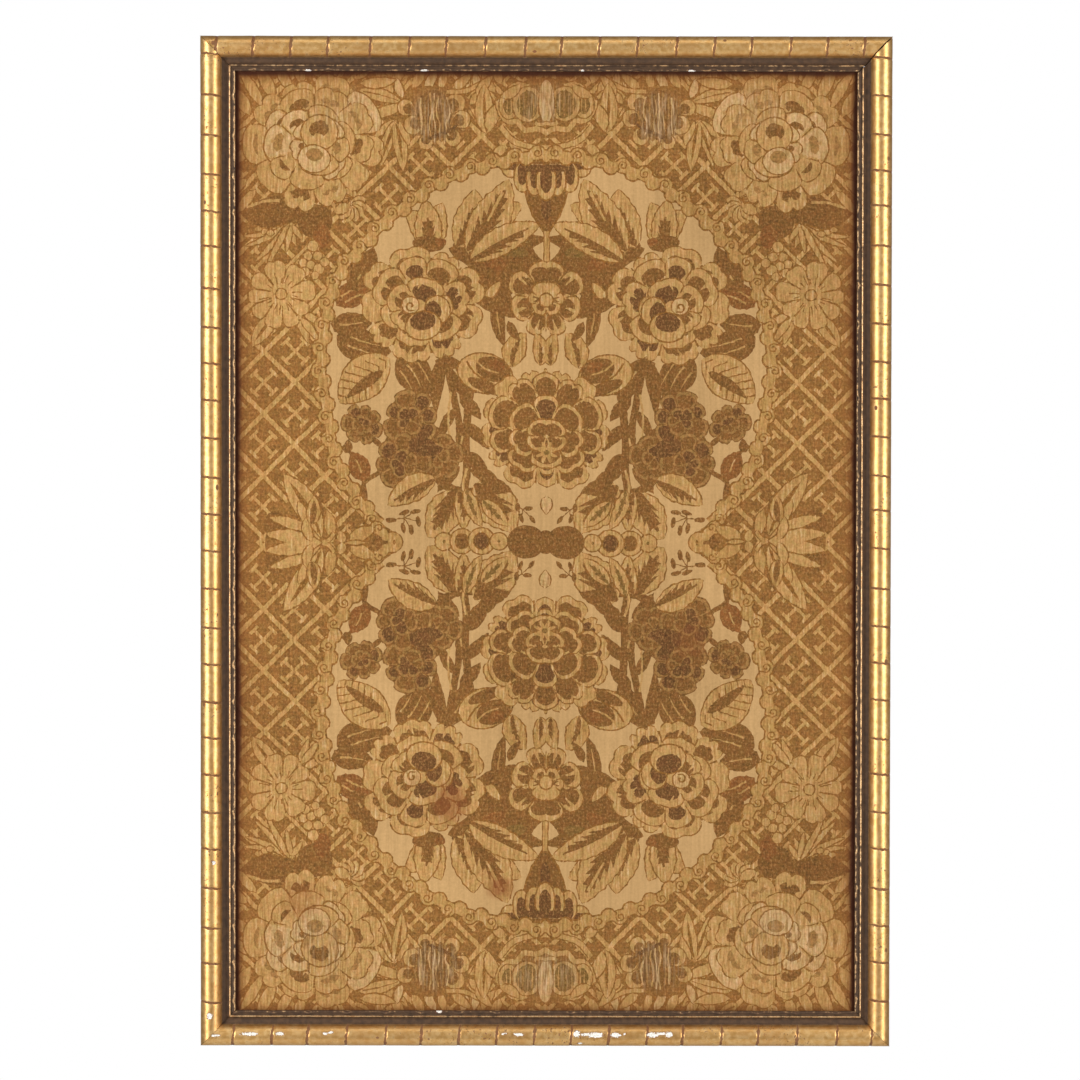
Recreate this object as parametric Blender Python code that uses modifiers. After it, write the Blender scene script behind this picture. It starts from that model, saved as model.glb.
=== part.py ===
"""A figured silk brocade panel held taut in a narrow gilt frame carved as bamboo.

Upright as it hangs. X runs left to right, Y from the front of the panel to the
wall behind it, Z up. The origin is on the flat back of the top rail, half way
along it and half way across it, where the wall takes the panel.

Metres. Each rail is shaped as a stick standing on Z, its outer edge at X = 0,
its inner edge at +X and its front at -Y, then turned into its side of the frame.
"""

import math

import bpy
from mathutils import Matrix

MM = 0.001

# The frame, over all, and the stock that it is mitred from
OUTER_W = 0.621
OUTER_H = 0.908
RAIL_W = 31.5 * MM
FRAME_DEPTH = 20.0 * MM
JOINT_GAP = 0.3 * MM  # the glue line of a tight mitre
OPEN_GAP = 0.8 * MM  # the mitre at the top right has opened

# The bamboo along the outer edge: a rod of segments between cut joints
ROD_R = 9.7 * MM  # at the flared end of a segment
ROD_WAIST_R = 9.45 * MM  # half way along a segment
ROD_NOTCH_R = 8.9 * MM  # at the bottom of a joint
ROD_U = 9.8 * MM  # centre, in from the outer edge
ROD_Y = 10.25 * MM  # centre, forward of the back
NOTCH_HALF = 0.9 * MM
ROD_SIDES = 18

# The rabbet that takes the cloth, and the sight lip in front of it
RABBET_U = 25.4 * MM
RABBET_DEPTH = 7.0 * MM

# The moulding under and inside the bamboo: (in from the outer edge, forward of the back), mm
MOULDING = (
    (1.2, 0.0), (25.4, 0.0), (25.4, 7.0), (31.5, 7.0),  # flat back and rabbet
    (31.5, 9.3), (30.9, 10.1), (29.8, 10.3), (28.9, 9.7),  # sight lip
    (28.3, 9.0), (27.7, 9.2), (27.2, 10.3), (26.5, 10.8), (25.8, 10.4),  # groove, then fine bead
    (25.2, 9.3), (24.0, 8.5), (22.4, 8.3), (20.9, 9.0), (19.6, 10.6),  # dark cove
    (17.8, 12.5), (9.8, 13.0), (2.2, 12.0), (1.2, 10.0),  # into the rod, and the outer side
)

# Joints of the bamboo, mm from the top of an upright rail or the left of a level one
JOINTS_LEFT = (
    17, 54, 90, 125, 158, 189, 227, 262, 294, 327, 361, 396, 429,
    462, 496, 531, 564, 598, 630, 663, 697, 730, 765, 801, 833, 868,
)
JOINTS_RIGHT = (
    20, 54, 89, 121, 152, 188, 223, 258, 292, 325, 359, 394, 425,
    459, 495, 529, 562, 595, 630, 662, 696, 729, 765, 798, 831, 866,
)
JOINTS_TOP = (15, 48, 82, 115, 153, 188, 221, 256, 292, 324, 358, 392, 427, 461, 494, 529, 562, 595)
JOINTS_BOTTOM = (30, 65, 97, 132, 167, 199, 233, 267, 301, 334, 368, 402, 434, 469, 502, 537, 573, 604)

# The cloth, cut to the rabbet and lying against the back of the lip
CLOTH_GAP = 0.4 * MM
CLOTH_T = 1.2 * MM
CLOTH_W = OUTER_W - 2 * (RABBET_U + CLOTH_GAP)
CLOTH_H = OUTER_H - 2 * (RABBET_U + CLOTH_GAP)
CLOTH_FRONT = RABBET_DEPTH - 0.35 * MM
CLOTH_COLUMNS, CLOTH_ROWS = 18, 27
SLACK = 0.45 * MM  # how far the taut cloth stands out of true
EDGE_FLAT = 0.030  # flat this far in from its cut edge

TOP_Z = RAIL_W / 2
BOTTOM_Z = TOP_Z - OUTER_H
MID_Z = (TOP_Z + BOTTOM_Z) / 2


def clear_scene():
    for obj in list(bpy.data.objects):
        bpy.data.objects.remove(obj)


def collection(name, hidden=False):
    made = bpy.data.collections.new(name)
    made.hide_render = hidden
    bpy.context.scene.collection.children.link(made)
    return made


def principled(name, colour, roughness, metallic=0.0, sheen=0.0):
    material = bpy.data.materials.new(name)
    material.use_nodes = True
    shader = material.node_tree.nodes["Principled BSDF"]
    shader.inputs["Base Color"].default_value = (*colour, 1.0)
    shader.inputs["Roughness"].default_value = roughness
    shader.inputs["Metallic"].default_value = metallic
    shader.inputs["Sheen Weight"].default_value = sheen
    material.diffuse_color = (*colour, 1.0)
    return material


def to_mesh(obj, where):
    """A plain mesh of the object as its modifiers leave it, in place of it."""
    bpy.context.view_layer.update()
    graph = bpy.context.evaluated_depsgraph_get()
    mesh = bpy.data.meshes.new_from_object(obj.evaluated_get(graph))
    mesh.transform(obj.matrix_world)
    made = bpy.data.objects.new(obj.name + "_mesh", mesh)
    where.objects.link(made)
    bpy.data.objects.remove(obj)
    return made


def weld(mesh, distance=0.01 * MM):
    import bmesh

    bm = bmesh.new()
    bm.from_mesh(mesh)
    bmesh.ops.remove_doubles(bm, verts=bm.verts, dist=distance)
    bmesh.ops.recalc_face_normals(bm, faces=bm.faces)
    bm.to_mesh(mesh)
    bm.free()


def moulding_stick(length):
    """The moulding as a straight stick along Z, from 3 mm below 0 to 3 mm past the length."""
    curve = bpy.data.curves.new("moulding", "CURVE")
    curve.dimensions = "2D"
    curve.fill_mode = "BOTH"
    curve.extrude = length / 2 + 3 * MM
    spline = curve.splines.new("POLY")
    spline.points.add(len(MOULDING) - 1)
    for point, (u, y) in zip(spline.points, MOULDING):
        point.co = (u * MM, -y * MM, 0, 1)
    spline.use_cyclic_u = True
    obj = bpy.data.objects.new("moulding", curve)
    obj.location = (0, 0, length / 2)
    helpers.objects.link(obj)
    stick = to_mesh(obj, helpers)
    weld(stick.data)
    return stick


def bamboo_rod(length, joints):
    """The rod turned along Z: each segment flares to its ends and a cut parts it from the next."""
    ends = 3 * MM
    profile = [(0.0, length + ends), (ROD_WAIST_R, length + ends)]
    cuts = sorted(joints, reverse=True)
    for i, z in enumerate(cuts):
        after = cuts[i + 1] if i + 1 < len(cuts) else -ends
        profile += [
            (ROD_R, z + NOTCH_HALF),
            (ROD_NOTCH_R, z),
            (ROD_R, z - NOTCH_HALF),
            (ROD_WAIST_R, (z + after) / 2),
        ]
    profile += [(ROD_WAIST_R, -ends), (0.0, -ends)]
    mesh = bpy.data.meshes.new("rod")
    mesh.from_pydata(
        [(r, 0, z) for r, z in profile],
        [(i, i + 1) for i in range(len(profile) - 1)],
        [],
    )
    obj = bpy.data.objects.new("rod", mesh)
    helpers.objects.link(obj)
    screw = obj.modifiers.new("turn", "SCREW")
    screw.axis = "Z"
    screw.angle = 2 * math.pi
    screw.steps = screw.render_steps = ROD_SIDES
    screw.use_merge_vertices = True
    screw.merge_threshold = 0.00005
    rod = to_mesh(obj, helpers)
    weld(rod.data)
    # Turned a little, so that no flat of the rod lies along a face of the moulding
    rod.matrix_world = Matrix.Translation((ROD_U, -ROD_Y, 0)) @ Matrix.Rotation(0.07, 4, "Z")
    return rod


def mitre_cutter(name, u, z, slope, gap):
    """A block that takes off all beyond a 45 degree plane through (u, z), half the gap inside it."""
    side = 0.12
    bpy.ops.mesh.primitive_cube_add(size=side)
    cutter = bpy.context.object
    cutter.name = name
    for owner in list(cutter.users_collection):
        owner.objects.unlink(cutter)
    helpers.objects.link(cutter)
    cutter.display_type = "WIRE"
    cutter.hide_render = True
    normal = Matrix.Rotation(math.radians(45), 4, "Y")
    away = (side / 2 - gap / 2) / math.sqrt(2)
    cutter.matrix_world = Matrix.Translation((u + away, 0, z + slope * away)) @ normal
    return cutter


def rail(name, length, joints, gap_low, gap_high, place):
    """One side of the frame: moulding and rod as one piece, mitred at both ends."""
    stick = moulding_stick(length)
    rod = bamboo_rod(length, joints)
    mid = RAIL_W / 2
    low = mitre_cutter("mitre_low", mid, mid, -1, gap_low)
    high = mitre_cutter("mitre_high", mid, length - mid, 1, gap_high)
    for label, operation, other in (
        ("bamboo", "UNION", rod),
        ("mitre_low", "DIFFERENCE", low),
        ("mitre_high", "DIFFERENCE", high),
    ):
        step = stick.modifiers.new(label, "BOOLEAN")
        step.operation = operation
        step.solver = "EXACT"
        step.object = other
    made = to_mesh(stick, parts)
    weld(made.data, 0.002 * MM)
    for helper in (rod, low, high):
        bpy.data.objects.remove(helper)
    made.name = made.data.name = name
    made.matrix_world = place
    made.data.materials.clear()
    made.data.materials.append(gilt)
    for face in made.data.polygons:
        face.use_smooth = True
    made.data.set_sharp_from_angle(angle=math.radians(35))
    return made


def slack(x, z):
    """How far the cloth stands forward of flat at a place on it, nothing near its cut edge."""
    inset = min(CLOTH_W / 2 - abs(x), CLOTH_H / 2 - abs(z))
    free = min(1.0, max(0.0, (inset - EDGE_FLAT / 2) / (2 * EDGE_FLAT)))
    wave = (
        0.45 * math.sin(x / 0.061 + 0.8)
        + 0.35 * math.sin(z / 0.083 - x / 0.21)
        + 0.20 * math.sin((x + z) / 0.049 + 2.1)
    )
    return SLACK * free * wave


def cloth_panel():
    """The brocade: one sheet with its thickness behind its face."""
    bpy.ops.mesh.primitive_grid_add(
        x_subdivisions=CLOTH_COLUMNS, y_subdivisions=CLOTH_ROWS, size=1
    )
    sheet = bpy.context.object
    sheet.name = sheet.data.name = "cloth"
    for owner in list(sheet.users_collection):
        owner.objects.unlink(sheet)
    parts.objects.link(sheet)
    for v in sheet.data.vertices:
        x, z = v.co.x * CLOTH_W, v.co.y * CLOTH_H
        v.co = (x, -CLOTH_FRONT - slack(x, z), MID_Z + z)
    thick = sheet.modifiers.new("thickness", "SOLIDIFY")
    thick.thickness = CLOTH_T
    thick.offset = -1
    thick.use_even_offset = False
    sheet.data.materials.append(silk)
    for face in sheet.data.polygons:
        face.use_smooth = True
    return sheet


clear_scene()
parts = collection("framed_brocade_panel")
helpers = collection("helpers", hidden=True)
gilt = principled("gilt_wood", (0.56, 0.37, 0.13), 0.34, metallic=0.75)
silk = principled("silk_brocade", (0.50, 0.33, 0.14), 0.62, sheen=0.35)

quarter = math.radians(90)
# Upright rails are measured up from the foot, the level ones from the end that each turns on.
rail(
    "rail_left", OUTER_H, [OUTER_H - j * MM for j in JOINTS_LEFT], JOINT_GAP, JOINT_GAP,
    Matrix.Translation((-OUTER_W / 2, 0, BOTTOM_Z)),
)
rail(
    "rail_right", OUTER_H, [j * MM for j in JOINTS_RIGHT], OPEN_GAP, JOINT_GAP,
    Matrix.Translation((OUTER_W / 2, 0, TOP_Z)) @ Matrix.Rotation(2 * quarter, 4, "Y"),
)
rail(
    "rail_top", OUTER_W, [j * MM for j in JOINTS_TOP], JOINT_GAP, OPEN_GAP,
    Matrix.Translation((-OUTER_W / 2, 0, TOP_Z)) @ Matrix.Rotation(quarter, 4, "Y"),
)
rail(
    "rail_bottom", OUTER_W, [OUTER_W - j * MM for j in JOINTS_BOTTOM], JOINT_GAP, JOINT_GAP,
    Matrix.Translation((OUTER_W / 2, 0, BOTTOM_Z)) @ Matrix.Rotation(-quarter, 4, "Y"),
)
cloth_panel()
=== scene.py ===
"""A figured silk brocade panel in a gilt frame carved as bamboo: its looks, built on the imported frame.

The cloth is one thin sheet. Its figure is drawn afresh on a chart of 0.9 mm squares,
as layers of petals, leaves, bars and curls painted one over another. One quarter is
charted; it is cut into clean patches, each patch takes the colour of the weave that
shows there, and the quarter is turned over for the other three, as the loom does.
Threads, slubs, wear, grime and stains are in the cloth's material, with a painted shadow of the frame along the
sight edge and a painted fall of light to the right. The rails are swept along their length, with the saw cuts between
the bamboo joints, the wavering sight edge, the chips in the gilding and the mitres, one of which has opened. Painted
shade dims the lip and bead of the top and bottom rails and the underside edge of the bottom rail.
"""

import math
import random

import bpy
import bmesh
import numpy as np
from mathutils import Matrix, Vector, noise
from mathutils.bvhtree import BVHTree
from mathutils.geometry import delaunay_2d_cdt


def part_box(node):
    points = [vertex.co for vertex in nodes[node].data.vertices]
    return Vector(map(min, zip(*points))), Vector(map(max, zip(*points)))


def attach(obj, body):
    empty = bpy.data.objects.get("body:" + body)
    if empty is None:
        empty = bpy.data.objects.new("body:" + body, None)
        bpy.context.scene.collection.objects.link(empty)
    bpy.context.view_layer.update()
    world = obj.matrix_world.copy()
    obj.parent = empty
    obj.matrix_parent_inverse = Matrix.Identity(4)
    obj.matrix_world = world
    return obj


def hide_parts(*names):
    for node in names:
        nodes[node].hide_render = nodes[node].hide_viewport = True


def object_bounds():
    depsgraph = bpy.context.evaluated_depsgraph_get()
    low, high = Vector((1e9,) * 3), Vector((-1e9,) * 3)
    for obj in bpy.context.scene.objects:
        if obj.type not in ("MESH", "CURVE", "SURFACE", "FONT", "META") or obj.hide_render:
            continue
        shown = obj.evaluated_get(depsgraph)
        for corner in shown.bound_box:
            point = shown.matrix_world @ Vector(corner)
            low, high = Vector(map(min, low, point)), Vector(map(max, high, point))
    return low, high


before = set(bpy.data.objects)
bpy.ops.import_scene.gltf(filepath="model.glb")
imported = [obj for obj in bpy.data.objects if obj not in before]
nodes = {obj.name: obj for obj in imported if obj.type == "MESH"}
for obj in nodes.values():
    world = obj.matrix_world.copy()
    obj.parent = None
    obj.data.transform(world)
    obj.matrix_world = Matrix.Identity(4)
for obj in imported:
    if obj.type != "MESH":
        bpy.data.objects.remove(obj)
cad_low, cad_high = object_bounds()
scene = bpy.context.scene
MM = 0.001
noise.seed_set(7)  # noise_vector starts from the clock without it

# ---- sizes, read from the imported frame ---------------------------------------
OUTER_W = cad_high.x - cad_low.x
OUTER_H = cad_high.z - cad_low.z
MID_X = (cad_high.x + cad_low.x) / 2
MID_Z = (cad_high.z + cad_low.z) / 2
cloth_low, cloth_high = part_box("cloth")
CLOTH_W = cloth_high.x - cloth_low.x
CLOTH_H = cloth_high.z - cloth_low.z
RAIL_W = 31.5 * MM
CLOTH_FRONT = 6.65 * MM
CLOTH_T = 1.2 * MM
SLACK = 0.45 * MM
EDGE_FLAT = 0.030


# ---- tones of the weave -----------------------------------------------------
GROUND, SATIN, LIGHT, PALE, SHADE, LINE, DARK, OLIVE, RUST, FIG, BAR, FAINT = range(12)
EDGE = 1.4  # width of the dark thread that outlines a shape, chart units

chart = []  # (tone, points), painted in order


def put(tone, points):
    chart.append((tone, points))


def away(cx, cy, reach, turn):
    return cx + reach * math.cos(turn), cy + reach * math.sin(turn)


def lobe(cx, cy, rx, ry, turn=0.0, scallops=0, depth=0.0, grow=0.0, n=0):
    """A round or scalloped patch, rx along `turn` and ry across it."""
    n = n or max(9, int(5 + 0.9 * max(rx, ry)) + scallops * 3)
    c, s = math.cos(turn), math.sin(turn)
    points = []
    for k in range(n):
        a = 2 * math.pi * k / n
        f = 1 - depth * (1 - abs(math.sin(scallops * a / 2)) ** 0.6) if scallops else 1.0
        x, y = (rx * f + grow) * math.cos(a), (ry * f + grow) * math.sin(a)
        points.append((cx + x * c - y * s, cy + x * s + y * c))
    return points


def along(points, step=4.0):
    """A smooth run of points through the given ones."""
    if len(points) < 3:
        return list(points)
    ends = [points[0], *points, points[-1]]
    run = []
    for i in range(1, len(ends) - 2):
        p0, p1, p2, p3 = ends[i - 1 : i + 3]
        n = max(2, int(math.dist(p1, p2) / step))
        for k in range(n):
            t = k / n
            run.append(
                tuple(
                    0.5
                    * (
                        2 * b
                        + (c - a) * t
                        + (2 * a - 5 * b + 4 * c - d) * t * t
                        + (3 * b - a - 3 * c + d) * t**3
                    )
                    for a, b, c, d in zip(p0, p1, p2, p3)
                )
            )
    return [*run, points[-1]]


def band(run, width, taper=(1.0, 1.0), grow=0.0, swell=0.0):
    """The outline of a strip along a run, `taper` its width at each end as a share of the whole."""
    left, right = [], []
    last = len(run) - 1
    for i, (x, y) in enumerate(run):
        x0, y0 = run[max(0, i - 1)]
        x1, y1 = run[min(last, i + 1)]
        d = math.hypot(x1 - x0, y1 - y0) or 1.0
        t = i / max(1, last)
        share = taper[0] + (taper[1] - taper[0]) * t
        if swell:
            share += swell * math.sin(math.pi * t)
        half = width * share / 2 + grow
        nx, ny = -(y1 - y0) / d * half, (x1 - x0) / d * half
        left.append((x + nx, y + ny))
        right.append((x - nx, y - ny))
    return left + right[::-1]


def stroke(points, width, tone=LIGHT, taper=(1.0, 1.0), edge=EDGE, swell=0.0, step=5.0):
    run = along(points, step)
    if edge:
        put(LINE, band(run, width, taper, edge, swell))
    put(tone, band(run, width, taper, 0.0, swell))


def axis_of(x0, y0, x1, y1, bend, n):
    """A bowed line from one point to another as n points."""
    mx, my = (x0 + x1) / 2 - (y1 - y0) * bend, (y0 + y1) / 2 + (x1 - x0) * bend
    run = []
    for k in range(n):
        t = k / (n - 1)
        a, b, c = (1 - t) ** 2, 2 * t * (1 - t), t * t
        run.append((a * x0 + b * mx + c * x1, a * y0 + b * my + c * y1))
    return run


def blade(run, width, grow=0.0, start=0.0, end=1.0, side=0, fat=0.8, tip=0.45):
    """The outline of a pointed leaf along a run; side +1 or -1 keeps one half of it."""
    part = run[int(start * (len(run) - 1)) : int(end * (len(run) - 1)) + 1]
    last = len(part) - 1
    left, right = [], []
    for i, (x, y) in enumerate(part):
        x0, y0 = part[max(0, i - 1)]
        x1, y1 = part[min(last, i + 1)]
        d = math.hypot(x1 - x0, y1 - y0) or 1.0
        t = i / last
        bulge = math.sin(math.pi * t**tip if t else 0.0) ** fat if 0 < t < 1 else 0.0
        half = width / 2 * bulge + grow * (1.0 if 0 < i < last else 0.4)
        nx, ny = -(y1 - y0) / d, (x1 - x0) / d
        left.append((x + nx * half * (side >= 0), y + ny * half * (side >= 0)))
        right.append((x - nx * half * (side <= 0), y - ny * half * (side <= 0)))
    return left + right[::-1]


def leaf(x0, y0, x1, y1, width, bend=0.0, fill=LIGHT, half=None, core=None, rib=None, ribs=0, tip=0.8, fat=0.75):
    """A pointed leaf from its foot to its tip. half: (side, tone); core: (share, tone); rib: tone of the midrib."""
    length = math.dist((x0, y0), (x1, y1))
    n = max(7, int(length / 4))
    run = axis_of(x0, y0, x1, y1, bend, n)
    put(LINE, blade(run, width, EDGE, tip=tip, fat=fat))
    put(fill, blade(run, width, tip=tip, fat=fat))
    if half:
        put(half[1], blade(run, width * 0.86, side=half[0], start=0.04, end=0.93, tip=tip, fat=fat))
    if core:
        inner = axis_of(x0, y0, x1, y1, bend, 9)
        put(core[1], blade(inner, width * core[0], start=0.1, end=0.88, tip=tip, fat=fat))
    for k in range(ribs):
        t = (k + 1) / (ribs + 1)
        i = int(t * (n - 1))
        x, y = run[i]
        dx, dy = run[min(n - 1, i + 1)][0] - run[max(0, i - 1)][0], run[min(n - 1, i + 1)][1] - run[max(0, i - 1)][1]
        d = math.hypot(dx, dy) or 1.0
        dx, dy = dx / d, dy / d
        reach = width / 2 * math.sin(math.pi * t) * 0.82
        for side in (-1, 1):
            put(
                LINE,
                band(
                    [(x, y), (x + dx * reach * 0.75 - dy * side * reach, y + dy * reach * 0.75 + dx * side * reach)],
                    1.3,
                ),
            )
    if rib is not None:
        put(rib, band(run[1:-1], 1.5, (1.0, 0.5)))


def cup(cx, cy, r, facing, fill=LIGHT, hollow=SHADE, share=0.55, ratio=1.0, shift=0.36, scallops=0, depth=0.12, edge=EDGE):
    """A petal: a rounded lobe, light round its rim, its hollow dark on the side that `facing` turns to."""
    rx, ry = r, r * ratio  # rx along facing
    put(LINE, lobe(cx, cy, rx, ry, facing, scallops, depth, edge))
    put(fill, lobe(cx, cy, rx, ry, facing, scallops, depth))
    if share:
        hx, hy = away(cx, cy, shift * r, facing)
        put(hollow, lobe(hx, hy, rx * share, ry * share * 1.1, facing))


def feather(points, rng, amount=2.4):
    """The outline of a patch with its threads running up and down past it by uneven lengths."""
    out = []
    for i, (x0, y0) in enumerate(points):
        x1, y1 = points[(i + 1) % len(points)]
        d = math.hypot(x1 - x0, y1 - y0)
        n = max(1, int(abs(x1 - x0) / 1.9))
        flat = abs(x1 - x0) / (d or 1.0)
        for k in range(n):
            x, y = x0 + (x1 - x0) * k / n, y0 + (y1 - y0) * k / n
            out.append((x, y + (rng.uniform(-1, 1) * amount * flat if n > 1 else 0.0)))
    return out


def tier(
    cx, cy, rx, ry, petals, seed, rim=6.5, core=0.5, hollows=(SHADE,), subs=(1, 2, 3), notch=0.16, empty=0.1,
    fills=(LIGHT,), turn=None, uneven=0.08, margin=0.12, slit=9.0, lean=0.0, outline=LINE, flames=0.5, soft=2.0,
):
    """One layer of an open flower: scalloped petals with light rims, their hollows dark towards the middle."""
    rng = random.Random(seed)
    spans = [rng.uniform(0.74, 1.26) for _ in range(petals)]
    whole = sum(spans)
    at = rng.uniform(0, 2 * math.pi) if turn is None else turn
    shape = []
    for span in spans:
        span *= 2 * math.pi / whole
        shape.append((at, span, 1 + rng.uniform(-uneven, uneven), rng.choice(subs), rng.choice(hollows), rng.choice(fills), rng.random()))
        at += span

    def edge(size, sub, t):
        body = math.sin(math.pi * t) ** 0.42 if 0 < t < 1 else 0.0
        small = abs(math.sin(math.pi * t * sub)) ** 0.5 if sub > 1 else 1.0
        return size * (1 - notch * (1 - body) - 0.075 * (1 - small))

    def spot(turned, share, grow=0.0):
        return cx + (rx * share + grow) * math.cos(turned), cy + (ry * share + grow) * math.sin(turned)

    def steps(span):
        return max(7, int(span * max(rx, ry) / 3.0))

    for grow in (EDGE, 0.0):
        ring = []
        for start, span, size, sub, _, _, _ in shape:
            n = steps(span)
            ring += [spot(start + span * j / n, edge(size, sub, j / n), grow) for j in range(n)]
        put(outline if grow else fills[0], ring)
    for start, span, size, sub, hollow, fill, chance in shape:
        n = steps(span)
        if fill != fills[0]:
            put(fill, [(cx, cy)] + [spot(start + span * j / n, edge(size, sub, j / n)) for j in range(1, n)])
        if chance < empty:
            continue
        off = margin * (0.6 + 0.8 * rng.random())
        far = []
        for j in range(n + 1):
            t = off + (1 - 2 * off) * j / n
            less = rim * (1 + lean * (2 * t - 1)) * (1 + 0.8 * abs(2 * t - 1) ** 3)
            far.append(spot(start + span * t, edge(size, sub, t), -less))
        room = edge(size, sub, 0.5) - rim / min(rx, ry)
        deep = min(core * size * (0.9 + 0.25 * rng.random()), room - 1.8 / min(rx, ry))
        if deep <= 0.02 or off > 0.3:
            continue
        close = [spot(start + span * (off * 1.6 + (1 - 3.2 * off) * j / 3), deep) for j in range(3, -1, -1)]
        put(hollow, feather(far + close, rng, soft) if soft else far + close)
        for _ in range(int(rng.random() + flames)):
            # a light lick running in from the rim
            t = rng.uniform(0.3, 0.7)
            x0, y0 = spot(start + span * t, edge(size, sub, t), -rim * 0.7)
            x1, y1 = spot(start + span * (t + rng.uniform(-0.1, 0.1)), (edge(size, sub, t) + deep) / 2.1)
            put(fills[0], band([(x0, y0), (x1, y1)], 4.2, (1.0, 0.15)))
    for start, span, size, sub, _, _, chance in shape:
        inner = 1 - notch
        bend = 0.5 * (chance - 0.5) * slit / max(rx, 1)
        put(outline, band([spot(start, inner * size, EDGE), spot(start + bend * 0.4, inner * size, -slit * 0.5), spot(start + bend, inner * size, -slit)], 1.5, (1.3, 0.6)))


def daisy(cx, cy, r, petals, seed, fill=LIGHT, eye=5.5, turn=0.0):
    """A light flower of notched petals, drawn in thin dark lines."""
    tier(cx, cy, r, r, petals, seed, empty=1.1, notch=0.26, subs=(2, 2, 3), slit=r * 0.42, fills=(fill,), turn=turn, uneven=0.07)
    rng = random.Random(seed)
    for k in range(petals * 2):
        a = turn + math.pi * (k + rng.uniform(0.2, 0.8)) / petals
        put(LINE, band([away(cx, cy, r * 0.32, a), away(cx, cy, r * rng.uniform(0.45, 0.68), a + 0.05)], 1.0))
    put(LINE, lobe(cx, cy, eye + EDGE, eye + EDGE))
    put(fill, lobe(cx, cy, eye, eye))


def blot(cx, cy, r, lobes, seed, tone=SHADE, rim=FAINT):
    """A small blossom woven brown on the satin, its petals marked by faint lines."""
    tier(cx, cy, r, r, lobes, seed, rim=2.6, core=0.45, hollows=(tone, tone, DARK), subs=(1, 1, 2), notch=0.2, empty=0.0, fills=(rim,), margin=0.07, slit=r * 0.3, outline=tone, flames=0, soft=0)
    tier(cx, cy, r * 0.5, r * 0.5, 5, seed + 1, rim=2.0, core=0.1, hollows=(tone, DARK), subs=(1,), notch=0.2, empty=0.0, fills=(rim,), margin=0.06, slit=2, outline=tone, flames=0, soft=0)


def plume(x0, y0, x1, y1, width, bend=0.0, fill=LIGHT, shade=SHADE, reach=0.8, spread=0.62, teeth=5, side=0, tip=0.85, seed=0, wave=0.05):
    """A leaf whose light rim breaks into its brown middle in teeth that point to the tip."""
    rng = random.Random(seed or int(x0 * 7 + y1 * 13))
    n = max(9, int(math.dist((x0, y0), (x1, y1)) / 3.2))
    run = axis_of(x0, y0, x1, y1, bend, n)
    for tone, grow in ((LINE, EDGE), (fill, 0.0)):
        outline = blade(run, width, grow, tip=tip, fat=0.75)
        half = len(outline) // 2
        waved = []
        for i, (x, y) in enumerate(outline):
            k = i if i < half else len(outline) - 1 - i
            cx, cy = run[min(k, n - 1)]
            f = 1 + wave * math.sin(k * 1.9 + (0.8 if i < half else 0.0)) * (0 < k < n - 1)
            waved.append((cx + (x - cx) * f, cy + (y - cy) * f))
        put(tone, waved)
    inner = axis_of(x0, y0, x1, y1, bend, 2 * teeth + 2)
    last = len(inner) - 1
    left, right = [], []
    for i in range(last + 1):
        t = i / last * reach
        j = min(last - 1, int(t * last))
        f = t * last - j
        x, y = inner[j][0] + (inner[j + 1][0] - inner[j][0]) * f, inner[j][1] + (inner[j + 1][1] - inner[j][1]) * f
        dx, dy = inner[j + 1][0] - inner[j][0], inner[j + 1][1] - inner[j][1]
        d = math.hypot(dx, dy) or 1.0
        dx, dy = dx / d, dy / d
        body = math.sin(math.pi * min(1.0, t / reach * 0.96 + 0.02) ** tip) ** 0.75
        tooth = 1.0 if i % 2 else 0.5
        w = width / 2 * spread * body * tooth * rng.uniform(0.8, 1.15)
        ahead = (rng.uniform(0.35, 0.75) if i % 2 else -0.35) * width / 2 * spread * body * (0 < i < last)
        if side >= 0:
            left.append((x - dy * w + dx * ahead, y + dx * w + dy * ahead))
        else:
            left.append((x - dy * 0.8, y + dx * 0.8))
        if side <= 0:
            right.append((x + dy * w + dx * ahead, y - dx * w + dy * ahead))
        else:
            right.append((x + dy * 0.8, y - dx * 0.8))
    put(shade, left + right[::-1])


def brown(x0, y0, x1, y1, width, bend=0.0, veins=2, tone=SHADE, tip=0.8, light=FIG, rim=False):
    """A leaf woven brown, with thin light veins."""
    n = max(8, int(math.dist((x0, y0), (x1, y1)) / 4))
    run = axis_of(x0, y0, x1, y1, bend, n)
    if rim:
        put(light, blade(run, width, 1.4, tip=tip, fat=0.75))
    put(tone, blade(run, width, tip=tip, fat=0.75))
    for k in range(veins):
        off = (k - (veins - 1) / 2) * width * 0.27
        part = []
        for i in range(int(n * 0.25), int(n * 0.82)):
            a, b = run[i - 1], run[min(n - 1, i + 1)]
            d = math.hypot(b[0] - a[0], b[1] - a[1]) or 1.0
            part.append((run[i][0] - (b[1] - a[1]) / d * off, run[i][1] + (b[0] - a[0]) / d * off))
        if len(part) > 1:
            put(light, band(part, 1.9, (1.0, 0.4)))


def curl(cx, cy, r, start, turns=1.35, width=1.5, tone=LINE, hand=1):
    n = int(12 * turns)
    run = []
    for k in range(n + 1):
        t = k / n
        run.append(away(cx, cy, r * (1 - 0.82 * t), start + hand * 2 * math.pi * turns * t))
    put(tone, band(run, width, (0.8, 1.1)))


def spray(x, y, blades, width=4.5, fill=LIGHT):
    """Grass blades from one foot: each (tip x, tip y, bend)."""
    for tx, ty, bend in blades:
        leaf(x, y, tx, ty, width, bend, fill, tip=0.7, fat=0.6)


def sprig(x, y, leaflets, r=4.2, tone=SHADE):
    for lx, ly, turn in leaflets:
        put(tone, band([(x, y), (lx, ly)], 1.2))
        put(tone, lobe(lx, ly, r * 1.35, r * 0.62, turn))


# ---- the chart, one quarter: x 225..552 from the left, y 60..552 from the top ---
CENTRE = (545.5, 541.5)

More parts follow.
